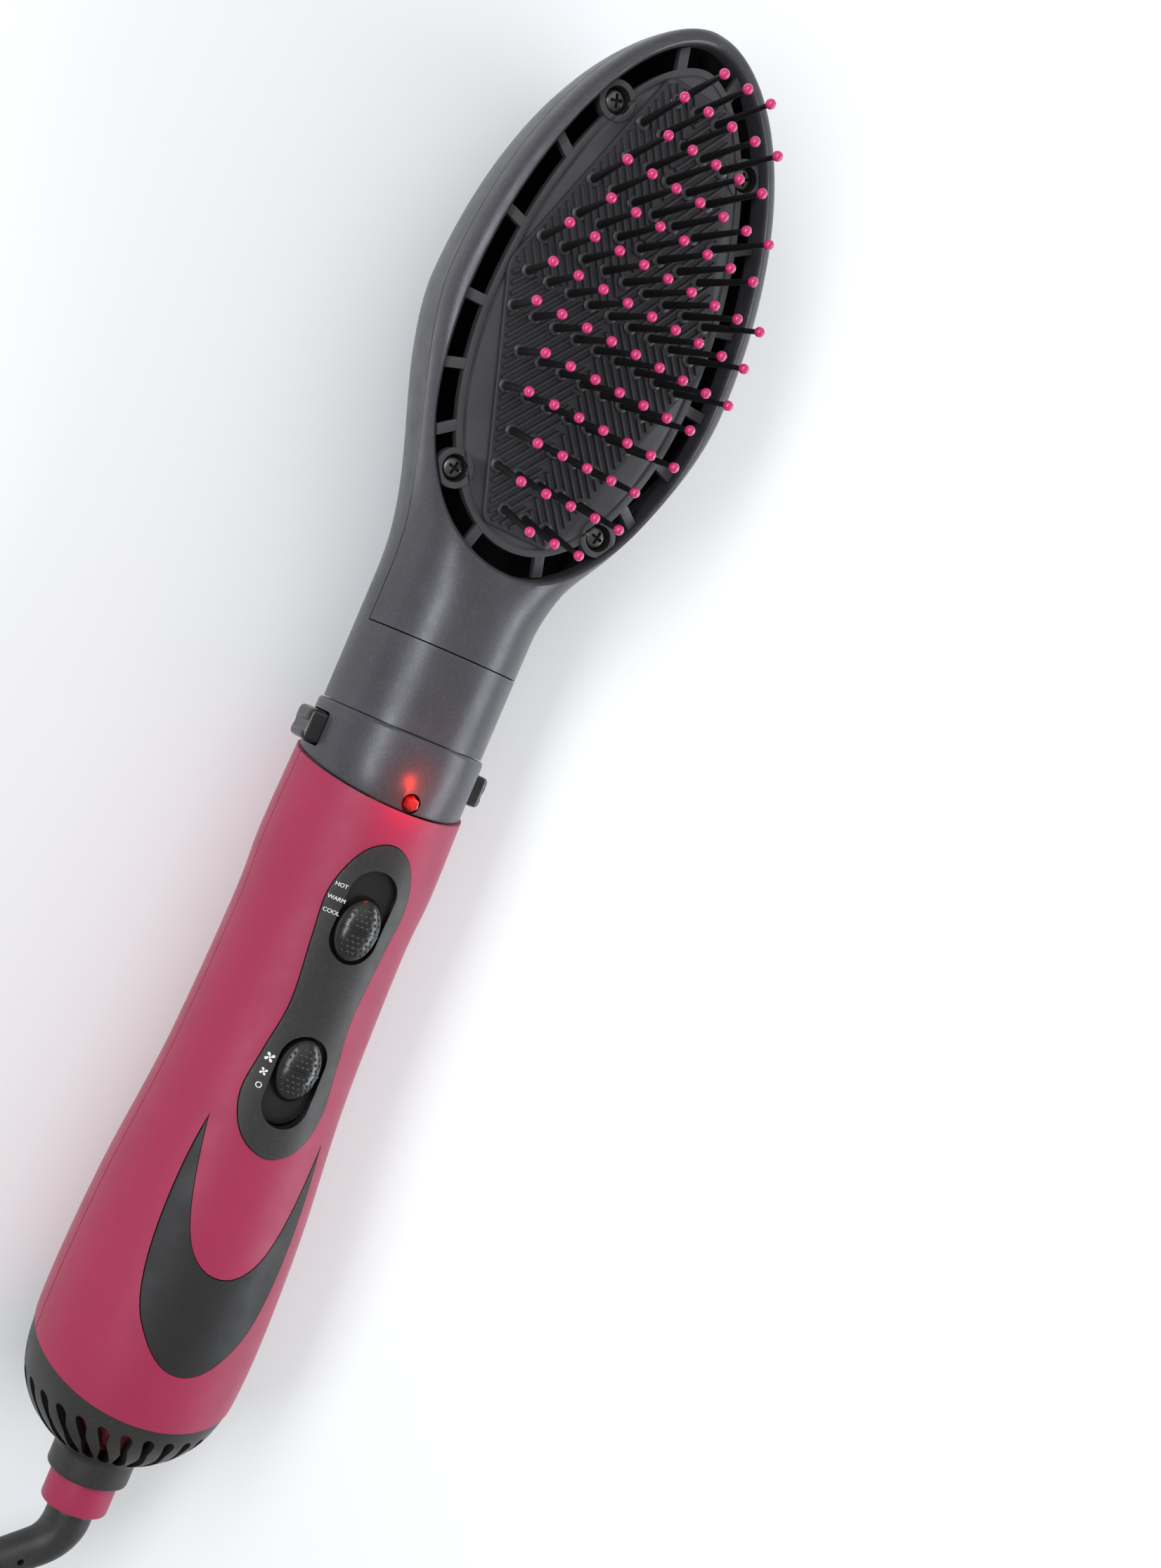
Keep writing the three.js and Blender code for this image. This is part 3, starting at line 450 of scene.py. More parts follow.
LENS = surface("red lens", srgb(120, 10, 14), 0.12, bump=0.04, Emission_Color=srgb(255, 30, 16),
               Emission_Strength=0.1, Coat_Weight=0.6)
WELL = surface("slot well", srgb(24, 23, 24), 0.3, bump=0.06, grain=1500)
LEGEND = surface("printed legend", srgb(238, 238, 236), 0.55, vary=0.03, bump=0.05)
STEEL = surface("screw steel", srgb(96, 94, 92), 0.32, vary=0.2, patch=400, grain=1800, Metallic=1.0)
BRIGHT = surface("bright steel", srgb(190, 192, 195), 0.3, vary=0.08, patch=200, grain=1800, Metallic=1.0)
CHROME = surface("plated pins", srgb(215, 214, 208), 0.14, vary=0.04, patch=200, grain=1500, bump=0.05,
                 Metallic=1.0)
MICA = surface("mica", srgb(196, 186, 160), 0.45, vary=0.18, patch=150, speck=0.2, grain=900)
BOARD = surface("circuit board", srgb(52, 104, 64), 0.4, vary=0.15, patch=200, grain=1200)
CORD = surface("cord rubber", srgb(24, 24, 25), 0.5, vary=0.1, patch=90, grain=3000, bump=0.3)
MESH = woven("filter cloth", srgb(134, 34, 46), 0.9)

# ---- camera ----
CAMERA_AT = (7.23, 201.43, 450.54)
CAMERA_AIM = (3.99, -49.08, 0)
CAMERA_ROLL = radians(-113.70)
LENS_MM, SENSOR_MM = 48.86, 36.0


def add_camera():
    camera = linked("camera", bpy.data.cameras.new("camera"))
    at, aim = to_row(*CAMERA_AT), to_row(*CAMERA_AIM)
    back = (at - aim).normalized()
    level_up = (Vector((0, 0, 1)) - back * back.z).normalized()
    level_right = level_up.cross(back)
    up = level_up * cos(CAMERA_ROLL) + level_right * sin(CAMERA_ROLL)
    right = up.cross(back)
    turn = Matrix((right, up, back)).transposed()
    camera.matrix_world = Matrix.Translation(at) @ turn.to_4x4()
    camera.data.lens, camera.data.sensor_width, camera.data.sensor_fit = LENS_MM, SENSOR_MM, "AUTO"
    camera.data.clip_start, camera.data.clip_end = 0.01, 20
    bpy.context.scene.camera = camera


add_camera()


# ---- the cord and what is on it ----
def coil_route():
    out = []
    for (a0, r0, z0), (a1, r1, z1) in zip(COIL_LAYERS, COIL_LAYERS[1:]):
        steps = max(4, int((a1 - a0) / 12))
        for k in range(steps):
            t = k / steps
            a = radians(mix(a0, a1, t))
            z = mix(z0, z1, smooth(0, 1, t))
            r = mix(r0, r1, t)
            out.append(Vector((COIL_X + r * cos(a), COIL_Y + r * sin(a), z)))
    a1, r1, z1 = COIL_LAYERS[-1]
    a = radians(a1)
    out.append(Vector((COIL_X + r1 * cos(a), COIL_Y + r1 * sin(a), z1)))
    return out


def add_cord():
    lead = spline(LEAD, 5)[:-1]
    coil = coil_route()
    points = [p * MM for p in lead + coil]
    curve = bpy.data.curves.new("power_cord_flex", "CURVE")
    curve.dimensions, curve.bevel_depth, curve.bevel_resolution = "3D", CORD_D / 2 * MM, 6
    curve.use_fill_caps = True
    line = curve.splines.new("POLY")
    line.points.add(len(points) - 1)
    for at, p in zip(line.points, points):
        at.co = (*p, 1)
    line.use_smooth = True
    curve.materials.append(CORD)
    flex = linked("power_cord_flex", curve)
    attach(flex, "swivel")
    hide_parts("power_cord", "cord_coil", "cord_tail")
    return flex, coil[-1]


def plug_section(x, y, z, half_width, half_height, power, n=48):
    return [(x + half_width * signed_power(cos(a), 2 / power), y,
             z + half_height * signed_power(sin(a), 2 / power)) for a in angles(n)]


def add_plug(end):
    """A flat moulded plug with ribbed grips, a tapered and grooved relief, and two round pins."""
    width, height, length, relief = PLUG["width"], PLUG["height"], PLUG["length"], PLUG["relief"]
    z = COIL_TOP + GAP + height / 2
    start = end.y - 3 * GAP
    r = CORD_D / 2
    rings = []
    steps = 28
    for i in range(steps + 1):
        t = i / steps
        groove = 0.7 if i % 4 in (2, 3) and 3 < i < steps - 2 else 0
        wide = mix(r + 0.9, width * 0.3, t ** 1.6) - groove
        tall = mix(r + 0.5, height * 0.36, t ** 1.6) - groove
        rings.append(plug_section(end.x, start - relief * t, mix(end.z, z, t), wide, tall, mix(2, 2.6, t)))
    shoulder = [(0.6, 0.8), (2.2, 0.93), (5, 1.0), (8, 1.0)]
    grip = [(9 + 2 * i, 0.955 if i % 2 else 1.0) for i in range(6)]
    nose = [(21, 1.0), (length - 1.2, 1.0), (length - 0.4, 0.975), (length, 0.93)]
    for along, size in shoulder + grip + nose:
        rings.append(plug_section(end.x, start - relief - along, z, width / 2 * size, height / 2 * size, 4))
    body = piece(loft(rings, CORD), "plug_moulding", "swivel", ["plug_body"], 50, True)
    body.data.transform(Matrix.Scale(MM, 4))
    pins = []
    for side, node in ((1, "plug_pin_1"), (-1, "plug_pin_2")):
        pr, pl = PLUG["pin_r"], PLUG["pin_length"]
        outline = [(0, AXIS_R), (0, pr), (pl - 1.4, pr), (pl - 0.5, pr * 0.8), (pl, pr * 0.3), (pl, AXIS_R)]
        pin = lathe(rounded(outline, 0.3, closed=False), 32, CHROME)
        at = Matrix.Translation((end.x + side * PLUG["pitch"] / 2, start - relief - length - GAP, z))
        moved(pin, Matrix.Scale(MM, 4) @ at @ turned(-90, "Z"))
        pins.append(piece(pin, node + "_round", "swivel", [node], in_row=True))
    return [body, *pins]


def add_tie():
    """A rubber strap round the coil's turns."""
    inner, outer, low, high = 22.55, 53.25, 0.35, COIL_TOP + 0.45

    def loop(grow):
        corners = [(inner - grow, low - grow), (outer + grow, low - grow), (outer + grow, high + grow),
                   (inner - grow, high + grow)]
        return rounded(corners, 3 + grow, 6)

    rings = []
    for y, grow in ((-2.5, 0.05), (-2.2, 0.3), (2.2, 0.3), (2.5, 0.05), (2.5, -0.3), (-2.5, -0.3)):
        rings.append([(x, y, z) for x, z in loop(grow)])
    verts = [v for ring in rings for v in ring]
    n = len(rings[0])
    strap = outward(solid(verts, grid_faces(len(rings), n, wrap_rows=True), CORD))
    moved(strap, Matrix.Scale(MM, 4) @ Matrix.Translation((COIL_X, COIL_Y, 0)) @ turned(-90, "Z"))
    return piece(strap, "cord_strap", "swivel", ["cord_tie"], in_row=True)


ELBOW_TURN, ELBOW_R, ELBOW_ROOT, ELBOW_STRAIGHT = radians(57), 10.0, 3, 24.0


def elbow_route(n=64):
    """Points and headings along the elbow's centreline."""
    start = SWIVEL_END_X - GAP
    bend = ELBOW_R * ELBOW_TURN
    total = ELBOW_ROOT + bend + ELBOW_STRAIGHT
    out = []
    for i in range(n + 1):
        s = total * i / n
        a = min(max((s - ELBOW_ROOT) / ELBOW_R, 0), ELBOW_TURN)
        x = start - min(s, ELBOW_ROOT) - ELBOW_R * sin(a)
        y = ELBOW_R * (1 - cos(a))
        after = max(0.0, s - ELBOW_ROOT - bend)
        heading = Vector((-cos(a), sin(a), 0))
        out.append((Vector((x, y, 0)) + heading * after, heading, s / total))
    return out


def add_elbow():
    """The elbow: plain round the bend, then a groove, a raised band and a stepped mouth."""
    def radius(t):
        r = mix(5.5, 4.6, smooth(0.08, 0.4, t)) - mix(0, 0.5, smooth(0.7, 1, t))
        r += 0.45 * (smooth(0.62, 0.635, t) - smooth(0.7, 0.715, t))
        r -= 0.4 * (smooth(0.585, 0.6, t) - smooth(0.61, 0.622, t))
        return r - 0.7 * smooth(0.975, 1, t) ** 2 - 0.5 * (1 - smooth(0, 0.02, t))

    rings = []
    for at, heading, t in elbow_route(96):
        side = Vector((heading.y, -heading.x, 0))
        r = radius(t)
        rings.append([at + side * r * cos(a) + Vector((0, 0, r * sin(a))) for a in angles(40)])
    elbow = loft(rings, TRIM)
    at, heading, _ = elbow_route()[30]
    turn = heading.to_track_quat("X", "Z").to_matrix().to_4x4()
    pinhole = moved(prism(disc(0, 0, 0.8, 16), 2.6, 8), Matrix.Translation(at) @ turn)
    return piece(cut(elbow, pinhole), "elbow_relief", "swivel", ["elbow_boot"])


flex, flex_end = add_cord()
on_flex = [add_elbow(), *add_plug(flex_end), add_tie()]


# ---- the head ----
NEAR_TIP = 0.9995                 # how near the tip a section may stand, as a share of the way


def face_point(angle, inset):
    ahead = cos(angle) > 0
    reach = (TIP_X - MID_X if ahead else MID_X - FACE_X) - inset
    across = signed_power(sin(angle), 1.12 if ahead else 0.96)
    return (MID_X + reach * cos(angle), (HEAD_HALF_WIDTH - inset) * across)


def face_outline(inset, n=128):
    return [face_point(a, inset) for a in angles(n)]


def seam_z(x):
    return 3 + 8 * smooth(28, 92, x) + 1.5 * smooth(110, TIP_X, x)


def head_section(x, inset):
    """Seam height, half widths at the seam and the rim, heights of crown and back, and their powers."""
    u = max(0.0, (x - MID_X) / (TIP_X - MID_X - inset))
    near = min(u, NEAR_TIP)
    shrink = (1 - near ** 2) ** 0.56
    v = min(1.0, max(0.0, (MID_X - x) / (MID_X - FACE_X)))
    oval = HEAD_HALF_WIDTH * (1 - v * v) ** 0.48
    rise = 11 * smooth(25, 90, x)
    side = (mix(NECK_R, HEAD_HALF_WIDTH, smooth(30, 97, x) ** 1.15) - inset) * shrink
    rim = ((NECK_R ** 8 + oval ** 8) ** 0.125 - inset) * shrink
    crown = (RIM_Z - rise - inset) * sqrt(1 - near ** 4)
    depth = (mix(NECK_R, HEAD_BACK, smooth(20, 80, x)) + rise - inset) * (1 - near ** 3.5) ** 0.65
    return rise + 2 * u, side, rim, crown, depth, mix(2, 4, smooth(30, 62, x)), mix(2, 2.3, smooth(30, 80, x))


def head_ring(x, inset, n):
    level, side, rim, crown, depth, crown_power, back_power = head_section(x, inset)
    ring = []
    for a in angles(n):
        c, s = cos(a), sin(a)
        power = crown_power if s > 0 else back_power
        up = abs(s) ** (2 / power)
        wide = mix(side, rim, up) if s > 0 else side
        ring.append((x, wide * signed_power(c, 2 / power), level + (crown * up if s > 0 else -depth * up)))
    return ring


def head_height(x, y, inset=0.0):
    """Height of the skin's bristle side over a place in plan."""
    level, side, rim, crown, _, power, _ = head_section(x, inset)
    low, high = 0.0, 1.0
    for _ in range(30):
        s = (low + high) / 2
        up = s ** (2 / power)
        if mix(side, rim, up) * (1 - s * s) ** (1 / power) > abs(y):
            low = s
        else:
            high = s
    return level + crown * low ** (2 / power)


def head_skin(x0, inset, n, steps, material):
    ahead = (TIP_X - MID_X - inset) * NEAR_TIP
    xs = [x0] + spread(4, MID_X, steps)
    xs += [MID_X + ahead * sin(pi / 2 * i / steps) for i in range(1, steps + 1)]
    return loft([head_ring(x, inset, n) for x in xs], material)


def front_of_seam(x0, lift):
    points = [(x0, 60)] + [(x, seam_z(x) + lift) for x in spread(x0, TIP_X + 5, 50)] + [(TIP_X + 5, 60)]
    # the cut faces along the seam take this near-black painted shade
    tool = prism(points, -60, 60, PAINTED_SHADE)
    return moved(tool, turned(90, "X"))


def opening_tool():
    """The face opening: straight walls that flare into a small round where they meet the skin."""
    rings = []
    for inset, drop in ((4, None), (4, 1.5), (3.9, 0.95), (3.62, 0.48), (3.2, 0.14), (2.6, -0.12), (2.3, -6)):
        ring = []
        for a in angles(160):
            x, y = face_point(a, inset)
            top = head_height(*face_point(a, 3.0))
            ring.append((x, y, PLATE_TOP - 9 if drop is None else top - drop))
        rings.append(ring)
    return loft(rings, HEAD)


def add_head_shells():
    # the hollow, the skirt under the rim, the bridge ring and the seam cuts bring near-black painted shade,
    # so the head's inside shows near-black through the vent slots
    outer = head_skin(0, 0, 96, 44, HEAD)
    hollow = head_skin(-1, WALL, 72, 30, PAINTED_SHADE)
    skin = cut(outer, hollow)
    front = linked("work", skin.data.copy())
    skirt = keep(prism(face_outline(1.4), 11.5, 40, PAINTED_SHADE), head_skin(0, 0.4, 72, 30, PAINTED_SHADE))
    front = keep(front, front_of_seam(NECK_COVER_X + GAP, GAP / 2))
    front = cut(add(front, skirt), opening_tool())
    piece(front, "head_front", "head", ["head_front_cover"])
    rear = cut(skin, front_of_seam(NECK_COVER_X, -GAP / 2))
    spigot = lathe(rounded([(-10, 16.4), (-10, 17.9), (3, 17.9), (3, 16.4)], 0.5), 96, HEAD)
    slots = block((-12, -30, -7), (-1.2, 30, 7), HEAD)
    bridge = lathe([(0.4, 16.4), (0.4, 18.4), (3, 18.4), (3, 16.4)], 96, PAINTED_SHADE)
    rear = add(rear, cut(spigot, slots), bridge)
    flat = block((-50, -60, -80), (200, 60, lowest("head_rear_shell")), HEAD)
    piece(cut(rear, flat), "head_rear", "head", ["head_rear_shell"])


def add_vent_plate():
    z0, z1 = PLATE_TOP - PLATE_THICK, PLATE_TOP
    plate = prism(face_outline(PLATE_INSET), z0, z1, PLATE)
    for degrees in (16, 58, 75, 92, 109, 126, 164):
        for side in (1, -1):
            a = radians(degrees * side)
            inner, outer = Vector(face_point(a, PLATE_INSET + 3)), Vector(face_point(a, RIM_INSET + GAP))
            along = (outer - inner).normalized()
            across = Vector((-along.y, along.x)) * 1.2
            end = outer + along * 2
            corners = [inner - across, end - across, end + across, inner + across]
            plate = add(plate, prism(corners, z0 + 0.2, z1 - 0.2, PLATE))
    for x, y in HEAD_SCREWS:
        plate = add(plate, prism(disc(x, y, 4.5, 40), z0, z1 + 0.5, PLATE))
    plate = keep(plate, prism(face_outline(RIM_INSET + GAP, 160), z0 - 1, z1 + 1, PLATE))
    for x, y in HEAD_SCREWS:
        # the countersinks' and screw holes' walls take near-black painted shade
        sink, hole = disc(x, y, 3.15, 32), disc(x, y, 1.6, 16)
        plate = cut(plate, prism(sink, z1 - 1.3, z1 + 2, PAINTED_SHADE), prism(hole, z0 - 1, z1, PAINTED_SHADE))
    groove = cut(prism(face_outline(PLATE_INSET + 1.6), z1 - 0.35, z1 + 1, PLATE),
                 prism(face_outline(PLATE_INSET + 2.3), z1 - 1, z1 + 2, PLATE))
    piece(bevel(cut(plate, groove), 0.22), "vent_frame", "head", ["vent_plate"])


def cross_screw(x, y, top, radius=2.7, flip=False):
    """A pan-headed screw with a cross recess."""
    outline = [(-8, AXIS_R), (-8, 1.2), (-1.2, 1.2), (-1.2, radius), (-0.7, radius), (-0.25, radius * 0.8),
               (0.05, radius * 0.45), (0.12, AXIS_R)]
    body = lathe(outline, 40, STEEL)
    for u, v in ((1.55, 0.34), (0.34, 1.55)):
        # the cross recess's walls take near-black painted shade instead of steel
        arm = prism([(-u, -v), (u, -v), (u * 0.9, v), (-u * 0.9, v)], -0.95, 0.6, PAINTED_SHADE)
        body = cut(body, moved(arm, turned(90, "Y")))
    turn = turned(90 if flip else -90, "Y") @ Matrix.Rotation(0.4 + x, 4, "X")
    return moved(body, Matrix.Translation((x, y, top)) @ turn)


def pad_half(x):
    middle = sum(PAD_X) / 2
    return mix(PAD_END_HALF, PAD_HALF, 1 - abs(x - middle) / (middle - PAD_X[0]))


def pad_outline(inset):
    x0, x1 = PAD_X[0] + inset, PAD_X[1] - inset
    half = [(x0, pad_half(x0) - inset), (sum(PAD_X) / 2, PAD_HALF - inset), (x1, pad_half(x1) - inset)]
    return half + [(x, -y) for x, y in reversed(half)]


def bristle_places():
    """Each bristle's foot, and its lean along and across."""
    centre = FIRST_X + (ROWS - 1) * PITCH / 2
    for row in range(ROWS):
        x = FIRST_X + row * PITCH
        side = int((pad_half(x) - EDGE) / SPREAD)
        lean_x = radians(FAN * (x - centre) / (PITCH * ROWS * 0.5))
        for i in range(-side, side + 1):
            y = i * SPREAD
            yield x, y, lean_x, radians(FAN * y / PAD_HALF)


def clipped(point, direction, polygon):
    """The stretch of a line inside a convex polygon, as two distances along it, or None."""
    low, high = -1e3, 1e3
    n = len(polygon)
    centre = sum((Vector(p) for p in polygon), Vector((0, 0))) / n
    for i in range(n):
        a, b = Vector(polygon[i]), Vector(polygon[(i + 1) % n])
        normal = Vector((-(b - a).y, (b - a).x))
        if normal.dot(centre - a) < 0:
            normal = -normal
        speed, height = normal.dot(direction), normal.dot(point - a)
        if abs(speed) < 1e-9:
            if height < 0:
                return None
            continue
        t = -height / speed
        if speed > 0:
            low = max(low, t)
        else:
            high = min(high, t)
    return (low, high) if high - low > 1.2 else None


RIDGE_PITCH, RIDGE_HALF, RIDGE_HEIGHT, RIDGE_LEANS, RIDGE_GAP = 1.9, 0.62, 0.75, (33, 180 - 38), 0.4


def ridge(a, b, direction, across):
    """The corners of one ridge from a to b, wide at its foot and narrow on top."""
    corners = []
    levels = ((PAD_TOP - 0.3, RIDGE_HALF, 0), (PAD_TOP + RIDGE_HEIGHT, RIDGE_HALF * 0.45, 0.35))
    for z, half, trim in levels:
        near, far = a + direction * trim, b - direction * trim
        for p, s in ((near, -1), (far, -1), (far, 1), (near, 1)):
            q = p + across * half * s
            corners.append((q.x, q.y, z))
    return corners


def pad_ridges():
    """Slanted ridges that meet in a V along the pad's middle, one way at each end."""
    verts, faces = [], []
    middle = sum(PAD_X) / 2
    outline = pad_outline(0.9)
    x0, x1, wide, end = outline[0][0], outline[2][0], outline[1][1], outline[0][1]
    start, gap = Vector((middle, 0)), RIDGE_GAP
    for degrees, near, far in zip(RIDGE_LEANS, (middle + gap, middle - gap), (x1, x0)):
        lean = radians(degrees)
        for side in (1, -1):
            quarter = [(near, side * gap), (far, side * gap), (far, side * end), (near, side * wide)]
            direction = Vector((cos(lean), side * sin(lean)))
            across = Vector((-direction.y, direction.x))
            for k in range(-90, 91):
                at = start + across * RIDGE_PITCH * k
                stretch = clipped(at, direction, quarter)
                if not stretch:
                    continue
                first = len(verts)
                verts += ridge(at + direction * stretch[0], at + direction * stretch[1], direction, across)
                faces += [tuple(first + i for i in f) for f in ((3, 2, 1, 0), (4, 5, 6, 7))]
                faces += grid_faces(2, 4, first)
    return outward(solid(verts, faces, PAD))


def lifted(outline, n, lean_x, lean_y, x, y, z, material):
    """A turned shape stood on the pad and leaned."""
    lean = Matrix.Rotation(lean_x, 4, "Y") @ Matrix.Rotation(-lean_y, 4, "X")
    return moved(lathe(outline, n, material), Matrix.Translation((x, y, z)) @ lean @ turned(-90, "Y"))


def add_pad():
    rim = [(0.0, PLATE_TOP + GAP), (0.0, PAD_TOP - 0.35), (0.35, PAD_TOP)]
    rings = [[(x, y, z) for x, y in rounded(pad_outline(inset), 2.5, 5)] for inset, z in rim]
    base = loft(rings, PAD)
    ball = 1.2
    end = BRISTLE - ball
    foot = [(-0.4, AXIS_R), (-0.4, 1.75), (0.45, 1.75), (0.8, 1.35), (0.9, AXIS_R)]
    stem = [(-0.5, AXIS_R), (-0.5, 1.05), (1.2, 0.95), (end - ball, 0.58), (end, 0.5), (end, AXIS_R)]
    tip = [(end - ball * cos(a), max(AXIS_R, ball * sin(a))) for a in spread(0, pi, 11)]
    feet, stems, tips = [], [], []
    for x, y, lean_x, lean_y in bristle_places():
        feet.append(lifted(foot, 20, 0, 0, x, y, PAD_TOP, PAD))
        stems.append(lifted(stem, 12, lean_x, lean_y, x, y, PAD_TOP, PIN))
        tips.append(lifted(tip, 16, lean_x, lean_y, x, y, PAD_TOP, TIP))
    piece(joined([base, pad_ridges(), *feet]), "bristle_cushion", "head", ["bristle_pad"], 40)
    piece(joined(stems), "bristle_stems", "head")
    piece(joined(tips), "bristle_tips", "head")


add_head_shells()
add_vent_plate()
add_pad()
for number, (sx, sy) in enumerate(HEAD_SCREWS, 1):
    screw = cross_screw(sx, sy, PLATE_TOP - 0.15)
    piece(screw, f"face_screw_{number}", "head", [f"head_screw_{number}"])

# ---- the grip ----
GRIP_LINE = spline(GRIP, 16)


def grip_r(x):
    for a, b in zip(GRIP_LINE, GRIP_LINE[1:]):
        if b.x <= x <= a.x:
            return mix(a.y, b.y, (a.x - x) / (a.x - b.x))
    return GRIP_LINE[0].y if x > GRIP_LINE[0].x else GRIP_LINE[-1].y


def slanted(at, slope, angle):
    """Where a slanted seam crosses the grip's skin at an angle from the front."""
    x = at
    for _ in range(6):
        x = at - slope * grip_r(x) * cos(angle)
    return x


def base_edge(angle):
    """Where the grip ends at its inlet cap: a slanted seam that runs level across the back."""
    return min(slanted(BASE_SEAM + GAP / 2, BASE_SLOPE, angle), BASE_BACK_X + GAP / 2)


def grip_layer(inner, outer, a0, a1, columns, rows, ends=None, material=None, inside=None):
    """A closed piece of the grip's skin between two angles, from offset inner to offset outer."""
    top, bottom = ends or (lambda a: slanted(COLLAR_SEAM - GAP, COLLAR_SLOPE, a), base_edge)
    verts = []
    for offset in (outer, inner):
        for i in range(rows):
            for a in spread(a0, a1, columns):
                x = mix(top(a), bottom(a), i / (rows - 1))
                r = grip_r(x) + offset
                verts.append((x, r * sin(a), r * cos(a)))
    half = rows * columns
    faces = grid_faces(rows, columns, 0, False, False)
    faces += [f[::-1] for f in grid_faces(rows, columns, half, False, False)]
    count = len(faces) // 2
    edge = list(range(columns)) + [i * columns + columns - 1 for i in range(1, rows)]
    edge += [(rows - 1) * columns + j for j in range(columns - 2, -1, -1)]
    edge += [i * columns for i in range(rows - 2, 0, -1)]
    faces += [(edge[k], edge[k - 1], edge[k - 1] + half, edge[k] + half) for k in range(len(edge))]
    shell = solid(verts, faces, material)
    # the inner faces take the inside material; in this script that is the near-black painted shade
    if inside:
        shell.data.materials.append(inside)
        for k in range(count, 2 * count):
            shell.data.polygons[k].material_index = 1
    return outward(shell)


def mirrored(half, end, steps):
    points = list(half) + [(end, 0)] + [(x, -y) for x, y in reversed(half[1:])]
    n = len(points)
    ring = [points[(i - 2) % n] for i in range(n + 5)]
    line = spline(ring, steps)
    return [tuple(p) for p in line[2 * steps:(2 + n) * steps]]


def inset(points, d):
    """A closed outline moved inwards by d."""
    shifted = points[1:] + points[:1]
    turn = copysign(1, sum(a[0] * b[1] - b[0] * a[1] for a, b in zip(points, shifted)))
    out = []
    for i, p in enumerate(points):
        before, at, after = Vector(points[i - 1]), Vector(p), Vector(shifted[i])
        e1, e2 = (at - before).normalized(), (after - at).normalized()
        normal = Vector((-turn * (e1.y + e2.y), turn * (e1.x + e2.x)))
        reach = min(2.5, 2 / max(1e-6, normal.length_squared))
        out.append(tuple(at + normal * d * reach))
    return out


def bezier(a, b, c, d, steps):
    a, b, c, d = Vector(a), Vector(b), Vector(c), Vector(d)
    return [tuple(a * (1 - t) ** 3 + b * 3 * t * (1 - t) ** 2 + c * 3 * t * t * (1 - t) + d * t ** 3)
            for t in (i / steps for i in range(steps))]


def inlay_outline(steps=14):
    outer = [[(-94.5, 14.2), (-110, 16.8), (-133, 17.2), (-141.4, 12.5)],
             [(-141.4, 12.5), (-148.4, 8.4), (-151.3, 4.4), (-151.3, 0)]]
    inner = [[(-94.5, -14.2), (-102, -13.5), (-115.8, -12.2), (-122.3, -8.5)],
             [(-122.3, -8.5), (-126.4, -6), (-127.8, -3), (-127.8, 0)]]
    arcs = []
    for half in (outer, inner):
        arcs += half + [[(x, -y) for x, y in arc[::-1]] for arc in half[::-1]]
    return [p for arc in arcs for p in bezier(*arc, steps)]


def stadium(x0, x1, half, n=20):
    def end(x, first):
        return [(x + half * cos(a), half * sin(a)) for a in spread(first, first + pi, n)]

    return end(x1 - half, -pi / 2) + end(x0 + half, pi / 2)


def add_grip():
    edge = asin(GAP / 2 / 21)
    quarter, wide = pi / 2, 0.9
    panel, inlay = mirrored(PANEL, PANEL_END_X, 8), inlay_outline()
    # the grip shells' inner faces take near-black painted shade
    front = grip_layer(-WALL, 0, -quarter + edge, quarter - edge, 73, 120, material=PINK, inside=PAINTED_SHADE)
    front = cut(front, prism(panel, 5, 40, PINK))
    span = (lambda a: -92.0, lambda a: -153.5)
    recess = keep(grip_layer(-1.1, 1, -wide, wide, 49, 60, span, PINK), prism(inlay, 5, 40, PINK))
    front = cut(front, recess, prism(disc(LAMP_X, 0, LAMP_HOLE_R, 32), 12, 40, PINK))
    piece(front, "grip_front", "handle", ["handle_front_shell"])
    rear = grip_layer(-WALL, 0, quarter + edge, 3 * quarter - edge, 73, 120, material=PINK, inside=PAINTED_SHADE)
    # the screw hole's wall takes near-black painted shade
    rear = cut(rear, prism(disc(HANDLE_SCREW_X, 0, 3.2, 40), -40, -12, PAINTED_SHADE))
    rear = cut(rear, block((-200, -60, -60), (0, 60, lowest("handle_rear_shell")), PINK))
    piece(rear, "grip_rear", "handle", ["handle_rear_shell"])
    layer = grip_layer(-0.8, INLAY_PROUD, -wide, wide, 61, 90, span, INLAY)
    shown = keep(layer, prism(inset(inlay, INLAY_GAP), 5, 40, INLAY))
    piece(shown, "grip_u_inlay", "handle", ["grip_inlay"])
    piece(cross_screw(HANDLE_SCREW_X, 0, -23.7, 2.8, True), "grip_screw", "handle", ["handle_screw"])


def add_panel():
    outline = inset(mirrored(PANEL, PANEL_END_X, 8), INLAY_GAP)
    span = (lambda a: -22.0, lambda a: -102.0)
    layer = grip_layer(-WALL, PANEL_PROUD, -0.62, 0.62, 61, 110, span, TRIM)
    panel = keep(layer, prism(outline, 5, 40, TRIM))
    for switch in (HEAT, SPEED):
        panel = cut(panel, prism(stadium(*switch["slot"], SLOT_HALF), 5, 40, GLOSS))
    piece(bevel(panel, 0.3, 3), "switch_plate", "handle", ["switch_panel"])
    for switch, name in ((HEAT, "heat"), (SPEED, "speed")):
        x0, x1 = switch["slot"]
        tray = prism(stadium(x0 + 0.05, x1 - 0.05, SLOT_HALF - 0.05), TRAY_Z - 0.9, TRAY_Z, WELL)
        piece(tray, f"{name}_slot_tray", "handle")


def dome_height(u, v):
    return DOME_HEIGHT * sqrt(max(0.0, 1 - u * u - v * v))


